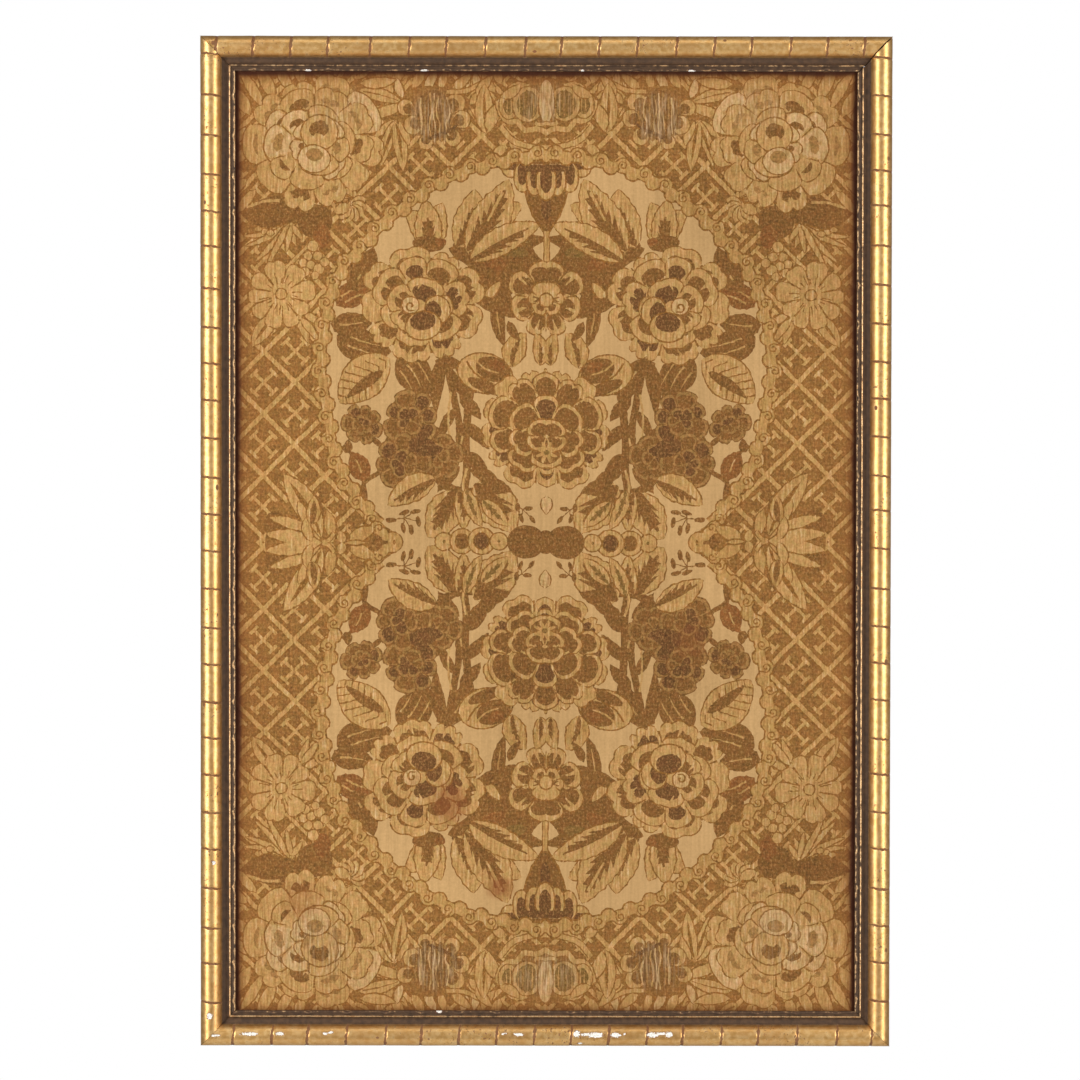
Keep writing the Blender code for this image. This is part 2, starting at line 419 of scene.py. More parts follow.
BORDER = (
    (552, 154), (526, 156), (500, 161), (462, 171), (430, 186), (406, 204), (382, 223), (362, 246),
    (346, 263), (335, 284), (328, 304), (324, 326), (321, 349), (320, 370), (323, 393), (328, 420),
    (334, 452), (344, 476), (357, 496), (370, 512), (381, 522),
)


def lattice():
    bars = []
    for k in range(-1, 9):
        s = 225.5 + 61.5 * k  # u + v
        bars.append(((s + 30, -30), (-30, s + 30)))
    for m in range(-10, 8):
        d = 30 + 62 * m  # u - v
        bars.append(((d - 30, -30), (d + 520, 520)))
    turned = [[(CENTRE[0] - u, CENTRE[1] - v) for u, v in bar] for bar in bars]
    for bar in turned:
        put(LINE, band(bar, 7.2))
    for bar in turned:
        put(BAR, band(bar, 4.4))
    for k in range(-1, 9):
        for m in range(-10, 8):
            s, d = 225.5 + 61.5 * (k + 0.5), 30 + 62 * (m + 0.5)
            x, y = CENTRE[0] - (s + d) / 2, CENTRE[1] - (s - d) / 2
            if not (225 < x < 552 and 60 < y < 552):
                continue
            arms = []
            for q in range(4):
                a = math.pi / 4 + q * math.pi / 2
                ex, ey = away(x, y, 13.6, a)
                arms.append([(x, y), (ex, ey)])
                c, t = away(ex, ey, 5.6, a + math.pi / 2), away(ex, ey, 5.6, a - math.pi / 2)
                arms.append([c, t])
            for arm in arms:
                put(LINE, band(arm, 5.6))
            for arm in arms:
                put(BAR, band(arm, 3.2))


def chain():
    """The scrolled border of the medallion: lumps and curls strung along it."""
    run = along(list(BORDER), 3.0)
    stations, gone, want = [], 0.0, 4.0
    for a, b in zip(run, run[1:]):
        step = math.dist(a, b)
        while gone + step >= want:
            t = (want - gone) / step
            stations.append(
                (a[0] + (b[0] - a[0]) * t, a[1] + (b[1] - a[1]) * t, math.atan2(b[1] - a[1], b[0] - a[0]))
            )
            want += 11.3
        gone += step
    lumps, curls = [], []
    for i, (x, y, way) in enumerate(stations):
        side = 1 if i % 2 else -1
        cx, cy = away(x, y, 2.6 * side, way + math.pi / 2)
        r = 7.4 if i % 2 else 6.3
        lumps.append((cx, cy, r, way))
        if i % 2:
            curls.append((cx, cy, way, 1 if i % 4 == 1 else -1))
    for grow in (EDGE + 0.2, 0.0):
        tone = LINE if grow else FIG
        put(tone, band(run, 8.0, grow=grow))
        for cx, cy, r, way in lumps:
            put(tone, lobe(cx, cy, r * 1.04 + grow, r * 0.94 + grow, way))
    for cx, cy, way, hand in curls:
        curl(cx, cy, 5.2, way + 2.4 * hand, 1.3, 1.5, hand=hand)
        # a notch where the curl leaves the band
        x0, y0 = away(cx, cy, 7.6, way + 2.0 * hand)
        x1, y1 = away(cx, cy, 4.6, way + 2.4 * hand)
        put(LINE, band([(x0, y0), (x1, y1)], 1.6))


def medallion():
    edge = along(list(BORDER), 6.0) + [(392, 530), (400, 560), (560, 560)]
    put(SATIN, edge)


def cusp():
    """The trefoil where the border turns in at the middle of each side."""
    for grow, tone in ((EDGE, LINE), (0.0, FIG)):
        put(tone, lobe(391, 541.5, 11 + grow, 10 + grow))
        put(tone, lobe(377, 527, 6.6 + grow, 6.0 + grow, 0.8))
        put(tone, lobe(383, 532, 5 + grow, 5 + grow, 0.8))
    curl(379, 527, 5.0, 2.2, 1.2, 1.5)
    put(SHADE, [(371, 541.5), (378, 533), (382, 539), (388, 539.5), (388, 543), (371, 543)])
    put(LINE, lobe(394, 541.5, 1.5, 2.5))
    leaf(350, 541, 376, 527, 13, -0.12, FIG, tip=0.8)
    leaf(346, 541.5, 366, 541.5, 4, 0, FIG)


def inside():
    # brown leaves behind the left of the rose
    brown(336, 336, 392, 352, 34, 0.10, 2)
    brown(330, 324, 374, 318, 25, 0.16, 1)
    brown(336, 306, 378, 290, 26, -0.22, 2, RUST)
    brown(350, 290, 374, 246, 27, 0.10, 1)
    brown(366, 276, 360, 244, 18, -0.1, 0)
    # brown leaves between the rose, the leaves and the small daisy
    brown(452, 244, 545, 268, 40, -0.05, 0)
    brown(470, 262, 520, 318, 34, 0.16, 0)
    brown(478, 250, 546, 238, 22, 0.04, 1)
    brown(476, 270, 512, 282, 30, 0.0, 0)
    put(SHADE, along([(448, 248), (470, 236), (505, 238), (531, 248), (540, 270), (520, 286), (508, 300), (498, 308), (484, 290), (470, 268), (455, 258), (448, 248)], 8))
    put(RUST, lobe(492, 262, 15, 7, 0.5))
    put(OLIVE, lobe(514, 252, 14, 6, 0.2))
    # buds and leaves above the rose
    plume(430, 248, 405, 211, 23, 0.24, spread=0.8, reach=0.62, teeth=4)
    plume(434, 248, 442, 202, 22, -0.14, spread=0.8, reach=0.6, teeth=4)
    plume(428, 250, 424, 199, 25, 0.06, spread=0.72, reach=0.66, teeth=5)
    put(SHADE, lobe(428, 243, 16, 8, 0.1))
    put(RUST, lobe(440, 241, 6, 4, 0.1))
    plume(456, 246, 474, 189, 31, 0.16, spread=0.42, reach=0.7, teeth=4)
    plume(468, 254, 522, 205, 34, -0.2, spread=0.82, reach=0.8, teeth=6, side=1)
    plume(466, 250, 508, 179, 37, 0.12, spread=0.66, reach=0.86, teeth=6)
    stroke([(487, 221), (495, 206), (502, 192)], 3.4, LIGHT, (0.5, 1), 0.8)
    plume(470, 260, 539, 225, 27, -0.08, spread=0.8, reach=0.85, teeth=6, side=1)
    # hanging carnation at the head
    put(LINE, [(523, 192), (533, 184), (568, 184), (568, 206), (547, 236), (542, 233), (531, 216)])
    put(SHADE, [(525, 193), (534, 186), (568, 186), (568, 205), (546.5, 233), (543, 231), (533, 215)])
    put(DARK, lobe(545.5, 207, 5, 14))
    for x, y, rx, ry, turned in ((511, 168, 9.5, 9.0, 0.2), (522, 177, 8.0, 15, 0.0), (534, 180, 7.4, 15, 0.0), (545.5, 182, 9.2, 18, 0.0)):
        put(LINE, lobe(x, y, rx + EDGE, ry + EDGE, turned))
        put(LIGHT, lobe(x, y, rx, ry, turned))
        put(DARK, lobe(x, y - 3.4, rx - 3.0, ry - 3.2, turned))
    put(SHADE, band([(508, 161), (568, 161)], 5.5))
    put(DARK, band([(524, 168), (568, 168)], 7))
    stroke([(545.5, 232), (545.5, 264)], 4.4, FIG, edge=1.1)
    # small daisy under it
    tier(545.5, 299, 38, 39, 8, 41, rim=4.6, core=0.22, hollows=(SHADE, DARK), subs=(1, 1, 2), notch=0.27, empty=0.0, margin=0.06, slit=11, lean=0.5, turn=0.2)
    tier(545.5, 301, 17, 17, 6, 43, rim=3.4, core=0.1, hollows=(SHADE,), subs=(1,), notch=0.2, empty=0.2, margin=0.12, slit=3)
    put(LINE, lobe(545.5, 301, 7.6, 7.6))
    put(LIGHT, lobe(545.5, 301, 6.4, 6.4))
    plume(513, 368, 526, 334, 22, -0.25, FIG, spread=0.34, reach=0.8, teeth=4)
    plume(540, 366, 535, 334, 14, 0.2, FIG, spread=0.5, reach=0.7, teeth=3)
    brown(497, 300, 505, 348, 14, 0.10, 1)
    leaf(486, 297, 500, 283, 9, 0.1, LIGHT, tip=0.7)
    brown(508, 322, 520, 342, 9, 0.1, 0)
    # ribbed leaves below the rose
    leaf(390, 359, 339, 403, 40, 0.10, LIGHT, ribs=7, tip=0.9)
    brown(384, 371, 345, 398, 11, 0.05, 0)
    brown(398, 355, 426, 400, 36, -0.16, 3)
    # leaves down the stem
    brown(446, 356, 437, 413, 15, 0.14, 0)
    brown(446, 358, 472, 406, 22, -0.12, 1)
    brown(436, 361, 457, 369, 9, 0.0, 0)
    brown(452, 378, 484, 392, 12, 0.1, 0)
    brown(460, 396, 482, 420, 13, -0.1, 0)
    brown(456, 408, 440, 440, 11, 0.1, 0)
    brown(464, 424, 490, 450, 13, -0.12, 0)
    brown(462, 440, 446, 474, 12, 0.12, 0)
    brown(466, 452, 488, 484, 14, -0.14, 0)
    brown(460, 466, 438, 492, 13, 0.12, 0)
    brown(470, 470, 500, 484, 13, -0.1, 0)
    # round leaf left of the centre rose
    put(LINE, lobe(486, 374, 27 + EDGE, 19 + EDGE, 0.25))
    put(LIGHT, lobe(486, 374, 27, 19, 0.25))
    put(SHADE, lobe(494, 370, 18, 12, 0.35))
    put(SHADE, lobe(487, 387, 20, 6, 0.4))
    put(RUST, lobe(497, 366, 9, 5, 0.4))
    stroke([(468, 362), (476, 374), (490, 382)], 2.0, LINE, edge=0)
    stroke([(474, 357), (484, 368), (499, 374)], 1.8, FIG, edge=0)
    # stems
    for pts, w in (
        (((446, 356), (455, 398), (460, 430), (456, 462), (446, 486)), 7),
        (((470, 400), (466, 440), (467, 470), (462, 500)), 8),
        (((430, 470), (450, 488), (470, 492), (492, 488)), 9),
    ):
        stroke(list(pts), w, SHADE, edge=0)
    stroke([(452, 392), (449, 414), (450, 436)], 2.2, LIGHT, edge=0)
    stroke([(463, 436), (458, 458), (454, 472)], 2.4, LIGHT, edge=0)
    stroke([(467, 468), (463, 484), (466, 500)], 2.4, LIGHT, edge=0)
    # the great rose
    tier(421, 304, 64, 60, 9, 7, rim=8.2, core=0.6, hollows=(SHADE, DARK, SHADE), subs=(2, 2, 3, 3), empty=0.06, notch=0.17, slit=12, margin=0.10)
    tier(424, 300, 49, 45, 7, 9, rim=7.4, core=0.5, hollows=(SHADE, DARK, SHADE), subs=(1, 2, 2, 3), empty=0.0, notch=0.18, slit=10, margin=0.09)
    tier(419, 306, 34, 30, 5, 31, rim=6.6, core=0.2, hollows=(DARK, SHADE), subs=(1, 2), empty=0.0, notch=0.2, slit=8, margin=0.08)
    cup(438, 310, 12, 2.9, LIGHT, DARK, 0.68, 1.15, 0.34)
    cup(424, 326, 14, -1.7, LIGHT, DARK, 0.68, 1.25, 0.34)
    put(LINE, lobe(411, 305, 9.6, 9.4))
    put(PALE, lobe(411, 305, 8.4, 8.2))
    curl(411, 306, 5.4, 0.8, 1.1, 1.8)
    # brown blossoms
    stroke([(360, 424), (378, 442), (396, 452)], 5, SHADE, edge=0)
    stroke([(346, 446), (362, 470), (366, 502)], 5, SHADE, (0.6, 1), 0)
    stroke([(366, 500), (364, 482), (388, 466)], 5, SHADE, edge=0)
    put(SHADE, lobe(424, 440, 22, 18))
    put(SHADE, lobe(396, 442, 12, 10))
    blot(362, 424, 20, 7, 3)
    blot(437, 455, 25, 7, 5)
    blot(411, 419, 28, 7, 8)
    blot(404, 463, 29, 8, 9)
    put(DARK, lobe(424, 446, 15, 9, 0.3))
    brown(345, 452, 348, 438, 10, 0.2, 0)
    brown(364, 480, 351, 450, 22, 0.1, 1, RUST)
    # leaves at the foot of the stems
    plume(436, 478, 388, 504, 25, 0.10, spread=0.9, reach=0.86, teeth=6, side=-1)
    plume(454, 490, 427, 537, 34, -0.10, spread=0.66, reach=0.82, teeth=5)
    plume(458, 490, 463, 530, 15, -0.14, spread=0.6, reach=0.8, teeth=4)
    plume(474, 484, 514, 532, 40, -0.10, spread=0.82, reach=0.8, teeth=5)
    plume(482, 500, 508, 526, 14, 0.02, spread=0.5, reach=0.8, teeth=4, shade=OLIVE)
    plume(466, 488, 482, 527, 13, 0.1, spread=0.5, reach=0.8, teeth=4, shade=OLIVE)
    brown(478, 478, 512, 492, 13, -0.05, 0)
    sprig(404, 517, ((391, 519, 0.0), (404, 512, -0.4), (415, 511, -0.2), (403, 527, 1.4), (411, 529, 1.5), (418, 521, 1.4)))
    sprig(522, 509, ((517, 507, 1.5), (528, 508, 0.0), (521, 518, 1.3), (532, 519, 1.0)), 3.6)
    # the centre rose
    tier(545.5, 428, 67, 63, 13, 23, rim=6.0, core=0.6, hollows=(SHADE, SHADE, DARK), subs=(1, 2, 2), empty=0.1, notch=0.15, slit=10, margin=0.10, flames=0.4)
    tier(545.5, 427, 55, 52, 9, 24, rim=3.6, core=0.2, hollows=(SHADE, RUST, DARK, SHADE), subs=(1, 2, 2), empty=0.0, notch=0.2, slit=9, margin=0.04, flames=0.2, uneven=0.1)
    tier(545.5, 431, 39, 35, 6, 27, rim=3.4, core=0.1, hollows=(SHADE, DARK), subs=(1, 2), empty=0.0, notch=0.22, slit=8, margin=0.04, flames=0.1)
    tier(545.5, 436, 21, 18, 4, 29, rim=3.0, core=0.1, hollows=(SHADE,), subs=(1,), empty=0.0, notch=0.2, slit=5, margin=0.05, flames=0)
    for k in range(8):
        a = k * math.pi / 4 + 0.39
        x, y = away(545.5, 452, 6.5, a)
        put(FIG, lobe(x, y, 5.0, 1.9, a))
    put(OLIVE, lobe(545.5, 452, 2.6, 2.6))
    leaf(545.5, 495, 545.5, 514, 10, 0, PALE, tip=0.8)
    # chain of rings across the middle
    for x, r, core in ((443.5, 8.5, None), (462, 12, SHADE), (481.5, 13, DARK), (499, 8.2, None)):
        put(LINE, lobe(x, 541.5, r + EDGE, r + EDGE))
        put(LIGHT, lobe(x, 541.5, r, r))
        if core is not None:
            put(LINE, lobe(x, 541.5, r * 0.66, r * 0.70))
            put(core, lobe(x, 541.5, r * 0.58, r * 0.62))
        else:
            put(OLIVE, lobe(x, 541.5, 1.6, 1.8))
    put(SHADE, lobe(526, 541.5, 19, 17))
    put(SHADE, lobe(545.5, 541.5, 9, 12))


def outside():
    # leaves in the far corner
    for x0, y0, x1, y1, w in (
        (250, 116, 232, 88, 12), (262, 108, 240, 72, 10), (274, 100, 256, 66, 12), (290, 92, 276, 66, 10),
        (252, 128, 232, 144, 9), (250, 150, 230, 166, 10), (246, 180, 228, 196, 10), (256, 190, 236, 214, 9),
        (302, 84, 296, 66, 10), (240, 120, 228, 108, 9),
    ):
        leaf(x0, y0, x1, y1, w, 0.05, LIGHT, tip=0.9)
    for x0, y0, x1, y1, w in (
        (352, 78, 372, 66, 10), (336, 80, 340, 62, 11), (318, 78, 314, 60, 11), (384, 92, 408, 76, 10),
        (392, 84, 404, 64, 9), (412, 88, 424, 66, 9), (404, 96, 434, 86, 8), (376, 78, 384, 62, 9),
        (500, 84, 490, 64, 9), (514, 78, 508, 62, 9), (530, 74, 536, 60, 9), (508, 92, 496, 108, 7),
    ):
        leaf(x0, y0, x1, y1, w, 0.08, LIGHT if (x0 + w) % 2 else FIG, rib=LINE if w > 9 else None, tip=0.85)
    for x0, y0, x1, y1, w in (
        (392, 96, 382, 72, 9), (402, 98, 396, 78, 8), (426, 90, 436, 72, 9), (440, 90, 446, 70, 8), (468, 88, 462, 68, 8),
        (480, 92, 474, 72, 8), (494, 92, 482, 72, 8), (386, 108, 366, 112, 8), (470, 104, 480, 92, 7),
    ):
        leaf(x0, y0, x1, y1, w, -0.08, LIGHT if x0 % 3 else PALE, tip=0.85)
    # leaves right of the corner flower
    leaf(358, 92, 402, 103, 12, -0.08, LIGHT, rib=LINE, tip=0.8)
    leaf(370, 116, 405, 104, 10, 0.05, LIGHT, tip=0.8)
    leaf(360, 84, 396, 80, 10, 0.08, LIGHT, tip=0.8)
    leaf(396, 120, 372, 140, 7, 0.05, LIGHT, tip=0.8)
    leaf(396, 120, 380, 166, 11, 0.06, LIGHT, core=(0.3, LINE), tip=0.8)
    leaf(394, 122, 402, 171, 13, -0.06, LIGHT, core=(0.25, LINE), tip=0.85)
    leaf(398, 122, 408, 146, 8, -0.1, LIGHT, tip=0.8)
    # flower cut by the top edge, left of the middle
    put(GROUND, lobe(432, 112, 36, 26))
    for x, y, r, way in ((405, 108, 8, 0.4), (412, 125, 9, -0.5), (455, 103, 9.5, 2.6), (461, 119, 8.5, 2.9), (452, 137, 8, -2.2), (425, 142, 7, -1.6)):
        cup(x, y, r, way, LIGHT, SHADE, 0.66, 1.0, 0.34)
    put(SHADE, lobe(433, 115, 19, 25))
    rng = random.Random(6)
    for k in range(9):
        x = 416 + 4.3 * k + rng.uniform(-0.8, 0.8)
        top, foot = 92 + abs(k - 4) * 1.8 + rng.uniform(-2, 3), 141 - abs(k - 4) * 2.6 + rng.uniform(-5, 3)
        sway = rng.uniform(-3.0, 3.0)
        put(PALE if k % 3 == 1 else LIGHT if k % 2 else FAINT, band(along([(x, top), (x + sway, top * 0.6 + foot * 0.4), (x - sway * 0.5, top * 0.3 + foot * 0.7), (x + 0.6 * sway, foot)], 4), rng.uniform(1.7, 3.0), (0.7, 0.4), swell=0.3))
    put(DARK, band(along([(428, 139), (438, 134), (447, 131), (457, 124)], 3), 4.2, (0.6, 0.3), swell=0.5))
    stroke([(446, 92), (464, 91), (483, 82)], 4.6, LIGHT, (0.8, 1), 1.1)
    leaf(452, 88, 470, 74, 9, 0.1, LIGHT, tip=0.8)
    leaf(476, 96, 492, 76, 9, -0.1, LIGHT, tip=0.8)
    # three-lobed leaf
    leaf(488, 131, 470, 108, 11, 0.2, LIGHT, tip=0.85)
    leaf(486, 133, 484, 84, 18, -0.05, LIGHT, core=(0.2, LINE), tip=0.8)
    leaf(488, 131, 501, 102, 12, -0.2, LIGHT, tip=0.85)
    # flower cut by the top edge at the middle
    put(GROUND, lobe(545.5, 108, 48, 30))
    stroke([(497, 100), (500, 113), (508, 121), (517, 121), (524, 130), (536, 128), (552, 136)], 5.2, LIGHT, edge=1.1)
    stroke([(505, 100), (508, 90), (517, 84), (527, 87)], 4.6, LIGHT, edge=1.1)
    for x, y, rx, ry in ((508, 105, 9.5, 13), (527, 104, 15, 17)):
        put(LINE, lobe(x, y, rx + EDGE, ry + EDGE))
        put(LIGHT, lobe(x, y, rx, ry))
        put(OLIVE, feather(lobe(x, y, rx - 3.8, ry - 3.6), random.Random(int(x)), 2.0))
    for x, top, foot in ((506, 98, 112), (510, 97, 113), (518.5, 95, 113), (523, 93, 116), (527.5, 92, 117), (532, 94, 116), (536, 96, 114)):
        put(FAINT if int(x) % 2 else LIGHT, band([(x, top), (x + 0.6, (top + foot) / 2), (x, foot)], 1.9, (0.7, 0.5)))
    put(LINE, lobe(545.5, 104, 9, 20))
    put(PALE, lobe(545.5, 101, 7.4, 21))
    stroke([(534, 122), (540, 124), (552, 121)], 3.4, LIGHT, edge=0.9)
    leaf(508, 140, 528, 150, 9, 0.1, LIGHT, tip=0.8)
    leaf(505, 146, 492, 158, 9, 0.1, LIGHT, tip=0.8)
    stroke([(500, 126), (512, 140), (530, 146), (552, 148)], 5, LIGHT, edge=1.1)
    leaf(500, 96, 520, 84, 9, 0.2, LIGHT, tip=0.8)
    # fan under the corner flower
    for k in range(7):
        a = -0.4 + k * 0.52
        x, y = away(350, 205, 17, a)
        leaf(350, 205, x, y, 10, 0.0, LIGHT, tip=1.1, fat=0.6)
    for k in range(4):
        a = 2.9 + k * 0.4
        x, y = away(352, 196, 14, a)
        leaf(352, 196, x, y, 6, 0.0, FIG, tip=1.0)
    # broad dark leaves under the corner flower
    brown(304, 206, 240, 213, 32, -0.10, 0, tip=0.9)
    stroke([(246, 208), (262, 202), (280, 201)], 3.0, LIGHT, (0.6, 1), 0)
    put(SHADE, lobe(315, 221, 18, 17))
    put(RUST, lobe(322, 236, 9, 12))
    put(SHADE, lobe(302, 206, 12, 9))
    # grass
    spray(
        289, 224,
        ((243, 236, -0.14), (245, 246, -0.10), (254, 262, -0.06), (266, 268, 0.02)), 5.4, LIGHT,
    )
    spray(291, 226, ((296, 246, 0.1), (302, 240, -0.1), (286, 252, 0.0)), 5.0, LIGHT)
    for x, y in ((264, 231), (258, 229), (270, 233)):
        put(LINE, lobe(x, y, 4.6, 3.8))
        put(LIGHT, lobe(x, y, 3.4, 2.6))
    # berries
    stroke([(292, 262), (302, 252), (314, 240)], 3.0, LIGHT, edge=1.0)
    for x, y, r in (
        (313, 246, 5.4), (308, 256, 4.4), (318, 256, 4.6), (303, 263, 4.2), (311, 265, 4.4), (305, 272, 4.6),
        (319, 269, 5.2), (325, 262, 4.4), (298, 272, 3.6), (315, 276, 3.8),
    ):
        put(LINE, lobe(x, y, r + 1.1, r + 1.1))
        put(LIGHT, lobe(x, y, r, r))
    # small daisy
    leaf(274, 316, 252, 346, 16, 0.05, LIGHT, core=(0.2, LINE), tip=0.8)
    leaf(296, 320, 308, 344, 7, -0.1, LIGHT, tip=0.8)
    leaf(300, 318, 318, 342, 7, -0.06, LIGHT, tip=0.8)
    leaf(303, 314, 322, 326, 7, -0.1, LIGHT, tip=0.8)
    daisy(280.5, 294, 34, 9, 4, LIGHT, 5.2, 0.3)
    # palmette at the middle of the side
    put(GROUND, lobe(303, 541.5, 38, 44))
    put(SHADE, lobe(310, 512, 14, 22))
    put(SHADE, lobe(276, 524, 12, 14))
    leaf(322, 536, 284, 474, 24, 0.08, LIGHT, core=(0.25, LINE), tip=1.0)
    leaf(318, 532, 299, 500, 10, -0.12, LIGHT, tip=1.0)
    leaf(320, 538, 270, 517, 11, 0.12, LIGHT, tip=1.0)
    leaf(322, 541.5, 266, 533, 13, 0.04, LIGHT, tip=1.05)
    leaf(313, 540, 307, 516, 9, -0.22, LIGHT, tip=0.9)
    leaf(311, 524, 314, 495, 13, 0.12, FIG, core=(0.5, SHADE), tip=0.9)
    leaf(331, 536, 327, 509, 11, 0.1, FIG, tip=0.85)
    leaf(331, 541.5, 333, 530, 5, 0.1, LIGHT, tip=0.8)
    leaf(342, 541.5, 340, 530, 9, 0.1, LIGHT, tip=0.8)
    stroke([(323, 541.5), (330, 538), (334, 532)], 3.4, FIG, edge=1.0)
    # the corner flower
    tier(312, 143, 68, 66, 10, 19, rim=10, core=0.7, hollows=(FAINT, SHADE, FAINT), subs=(1, 2, 2), notch=0.16, empty=0.15, slit=13, margin=0.16, fills=(LIGHT, LIGHT, PALE), uneven=0.08, flames=1.0, soft=3.4)
    tier(316, 137, 54, 50, 8, 21, rim=9.6, core=0.66, hollows=(SHADE, FAINT, OLIVE), subs=(1, 2, 2), notch=0.18, empty=0.05, slit=13, margin=0.13, fills=(LIGHT, PALE, LIGHT), uneven=0.09, flames=1.2, soft=3.4)
    tier(308, 149, 44, 42, 7, 35, rim=8.6, core=0.62, hollows=(FAINT, SHADE), subs=(1, 1, 2), notch=0.18, empty=0.05, slit=12, margin=0.14, fills=(LIGHT, PALE, LIGHT), uneven=0.08, flames=1.0, soft=3.0)
    tier(319, 146, 31, 29, 5, 22, rim=7.6, core=0.5, hollows=(SHADE, FAINT), subs=(1, 1, 2), notch=0.18, empty=0.0, slit=11, margin=0.14, fills=(LIGHT, PALE), flames=0.6, soft=2.6)
    cup(319, 134, 17, 1.4, LIGHT, SHADE, 0.5, 1.05, -0.2)
    put(LIGHT, lobe(318, 139, 5.0, 4.4))
    cup(314, 160, 13, -1.5, PALE, FAINT, 0.5, 1.2, 0.3)


def draw():
    chart.clear()
    put(GROUND, [(225, 60), (552, 60), (552, 552), (225, 552)])
    lattice()
    outside()
    medallion()
    inside()
    chain()
    cusp()
    return chart


# ---- colours ------------------------------------------------------------------
def srgb(r, g, b):
    """Linear colour from 0 to 255 screen values."""
    out = []
    for c in (r, g, b):
        c /= 255
        out.append(c / 12.92 if c <= 0.04045 else ((c + 0.055) / 1.055) ** 2.4)
    return tuple(out)


# colour of each tone, and how much of the surface there is long satin floats
WEAVE = {
    GROUND: (srgb(149, 106, 56), 0.10),
    SATIN: (srgb(204, 164, 103), 1.00),
    LIGHT: (srgb(195, 153, 92), 0.55),
    PALE: (srgb(205, 166, 108), 0.60),
    SHADE: (srgb(134, 94, 49), 0.15),
    LINE: (srgb(144, 100, 48), 0.05),
    DARK: (srgb(117, 81, 46), 0.15),
    OLIVE: (srgb(134, 102, 54), 0.15),
    RUST: (srgb(142, 94, 50), 0.15),
    FIG: (srgb(189, 147, 86), 0.50),
    BAR: (srgb(197, 154, 92), 0.45),
    FAINT: (srgb(162, 122, 70), 0.15),
}


# ---- material helpers ----------------------------------------------------------
class Net:
    """Short names for building one material's nodes."""

    def __init__(self, name):
        self.material = bpy.data.materials.new(name)
        self.material.use_nodes = True
        self.tree = self.material.node_tree
        self.shader = self.tree.nodes["Principled BSDF"]

    def node(self, kind, **settings):
        made = self.tree.nodes.new(kind)
        for key, value in settings.items():
            setattr(made, key, value)
        return made

    def link(self, out, into):
        self.tree.links.new(out, into)

    def feed(self, value, socket):
        if hasattr(value, "links"):
            self.link(value, socket)
        else:
            socket.default_value = value

    def math(self, operation, a, b=0.0, clamp=False):
        made = self.node("ShaderNodeMath", operation=operation, use_clamp=clamp)
        self.feed(a, made.inputs[0])
        self.feed(b, made.inputs[1])
        return made.outputs[0]

    def mix(self, share, a, b, blend="MIX"):
        made = self.node("ShaderNodeMix", data_type="RGBA", blend_type=blend)
        made.clamp_result = False
        self.feed(share, made.inputs[0])
        self.feed(a if hasattr(a, "links") else (*a, 1.0), made.inputs[6])
        self.feed(b if hasattr(b, "links") else (*b, 1.0), made.inputs[7])
        return made.outputs[2]

    def ramp(self, value, low, high, smooth=True):
        made = self.node("ShaderNodeMapRange", interpolation_type="SMOOTHSTEP" if smooth else "LINEAR")
        self.feed(value, made.inputs[0])
        made.inputs[1].default_value = low
        made.inputs[2].default_value = high
        return made.outputs[0]

    def attribute(self, name):
        return self.node("ShaderNodeAttribute", attribute_name=name)

    def place(self):
        """Object coordinates, the same as the row frame's."""
        if not hasattr(self, "_place"):
            self._place = self.node("ShaderNodeTexCoord").outputs["Object"]
        return self._place

    def scaled(self, x, y, z):
        made = self.node("ShaderNodeMapping")
        self.link(self.place(), made.inputs[0])
        made.inputs["Scale"].default_value = (x, y, z)
        return made.outputs[0]

    def noise(self, scale, detail=2.0, rough=0.5, by=None, shift=0.0):
        made = self.node("ShaderNodeTexNoise")
        vector = by or self.place()
        if shift:
            moved = self.node("ShaderNodeVectorMath", operation="ADD")
            self.link(vector, moved.inputs[0])
            moved.inputs[1].default_value = (shift, shift * 0.7, shift * 1.3)
            vector = moved.outputs[0]
        self.link(vector, made.inputs["Vector"])
        made.inputs["Scale"].default_value = scale
        made.inputs["Detail"].default_value = detail
        made.inputs["Roughness"].default_value = rough
        return made.outputs["Fac"]

    def bump(self, height, distance, strength=1.0, onto=None):
        made = self.node("ShaderNodeBump")
        made.inputs["Strength"].default_value = strength
        made.inputs["Distance"].default_value = distance
        self.link(height, made.inputs["Height"])
        if onto is not None:
            self.link(onto, made.inputs["Normal"])
        return made.outputs[0]

    def spot(self, x, z, rx, rz):
        """1 at a place on the panel, falling to 0 at the rim of an ellipse round it."""
        made = self.node("ShaderNodeMapping")
        self.link(self.place(), made.inputs[0])
        made.inputs["Scale"].default_value = (1 / rx, 0.0, 1 / rz)
        made.inputs["Location"].default_value = (-x / rx, 0.0, -z / rz)
        length = self.node("ShaderNodeVectorMath", operation="LENGTH")
        self.link(made.outputs[0], length.inputs[0])
        return self.math("SUBTRACT", 1.0, length.outputs["Value"], clamp=True)


def chart_to_world(x, y):
    return MID_X + (x - CENTRE[0]) * 0.9 * MM, MID_Z + (CENTRE[1] - y) * 0.9 * MM


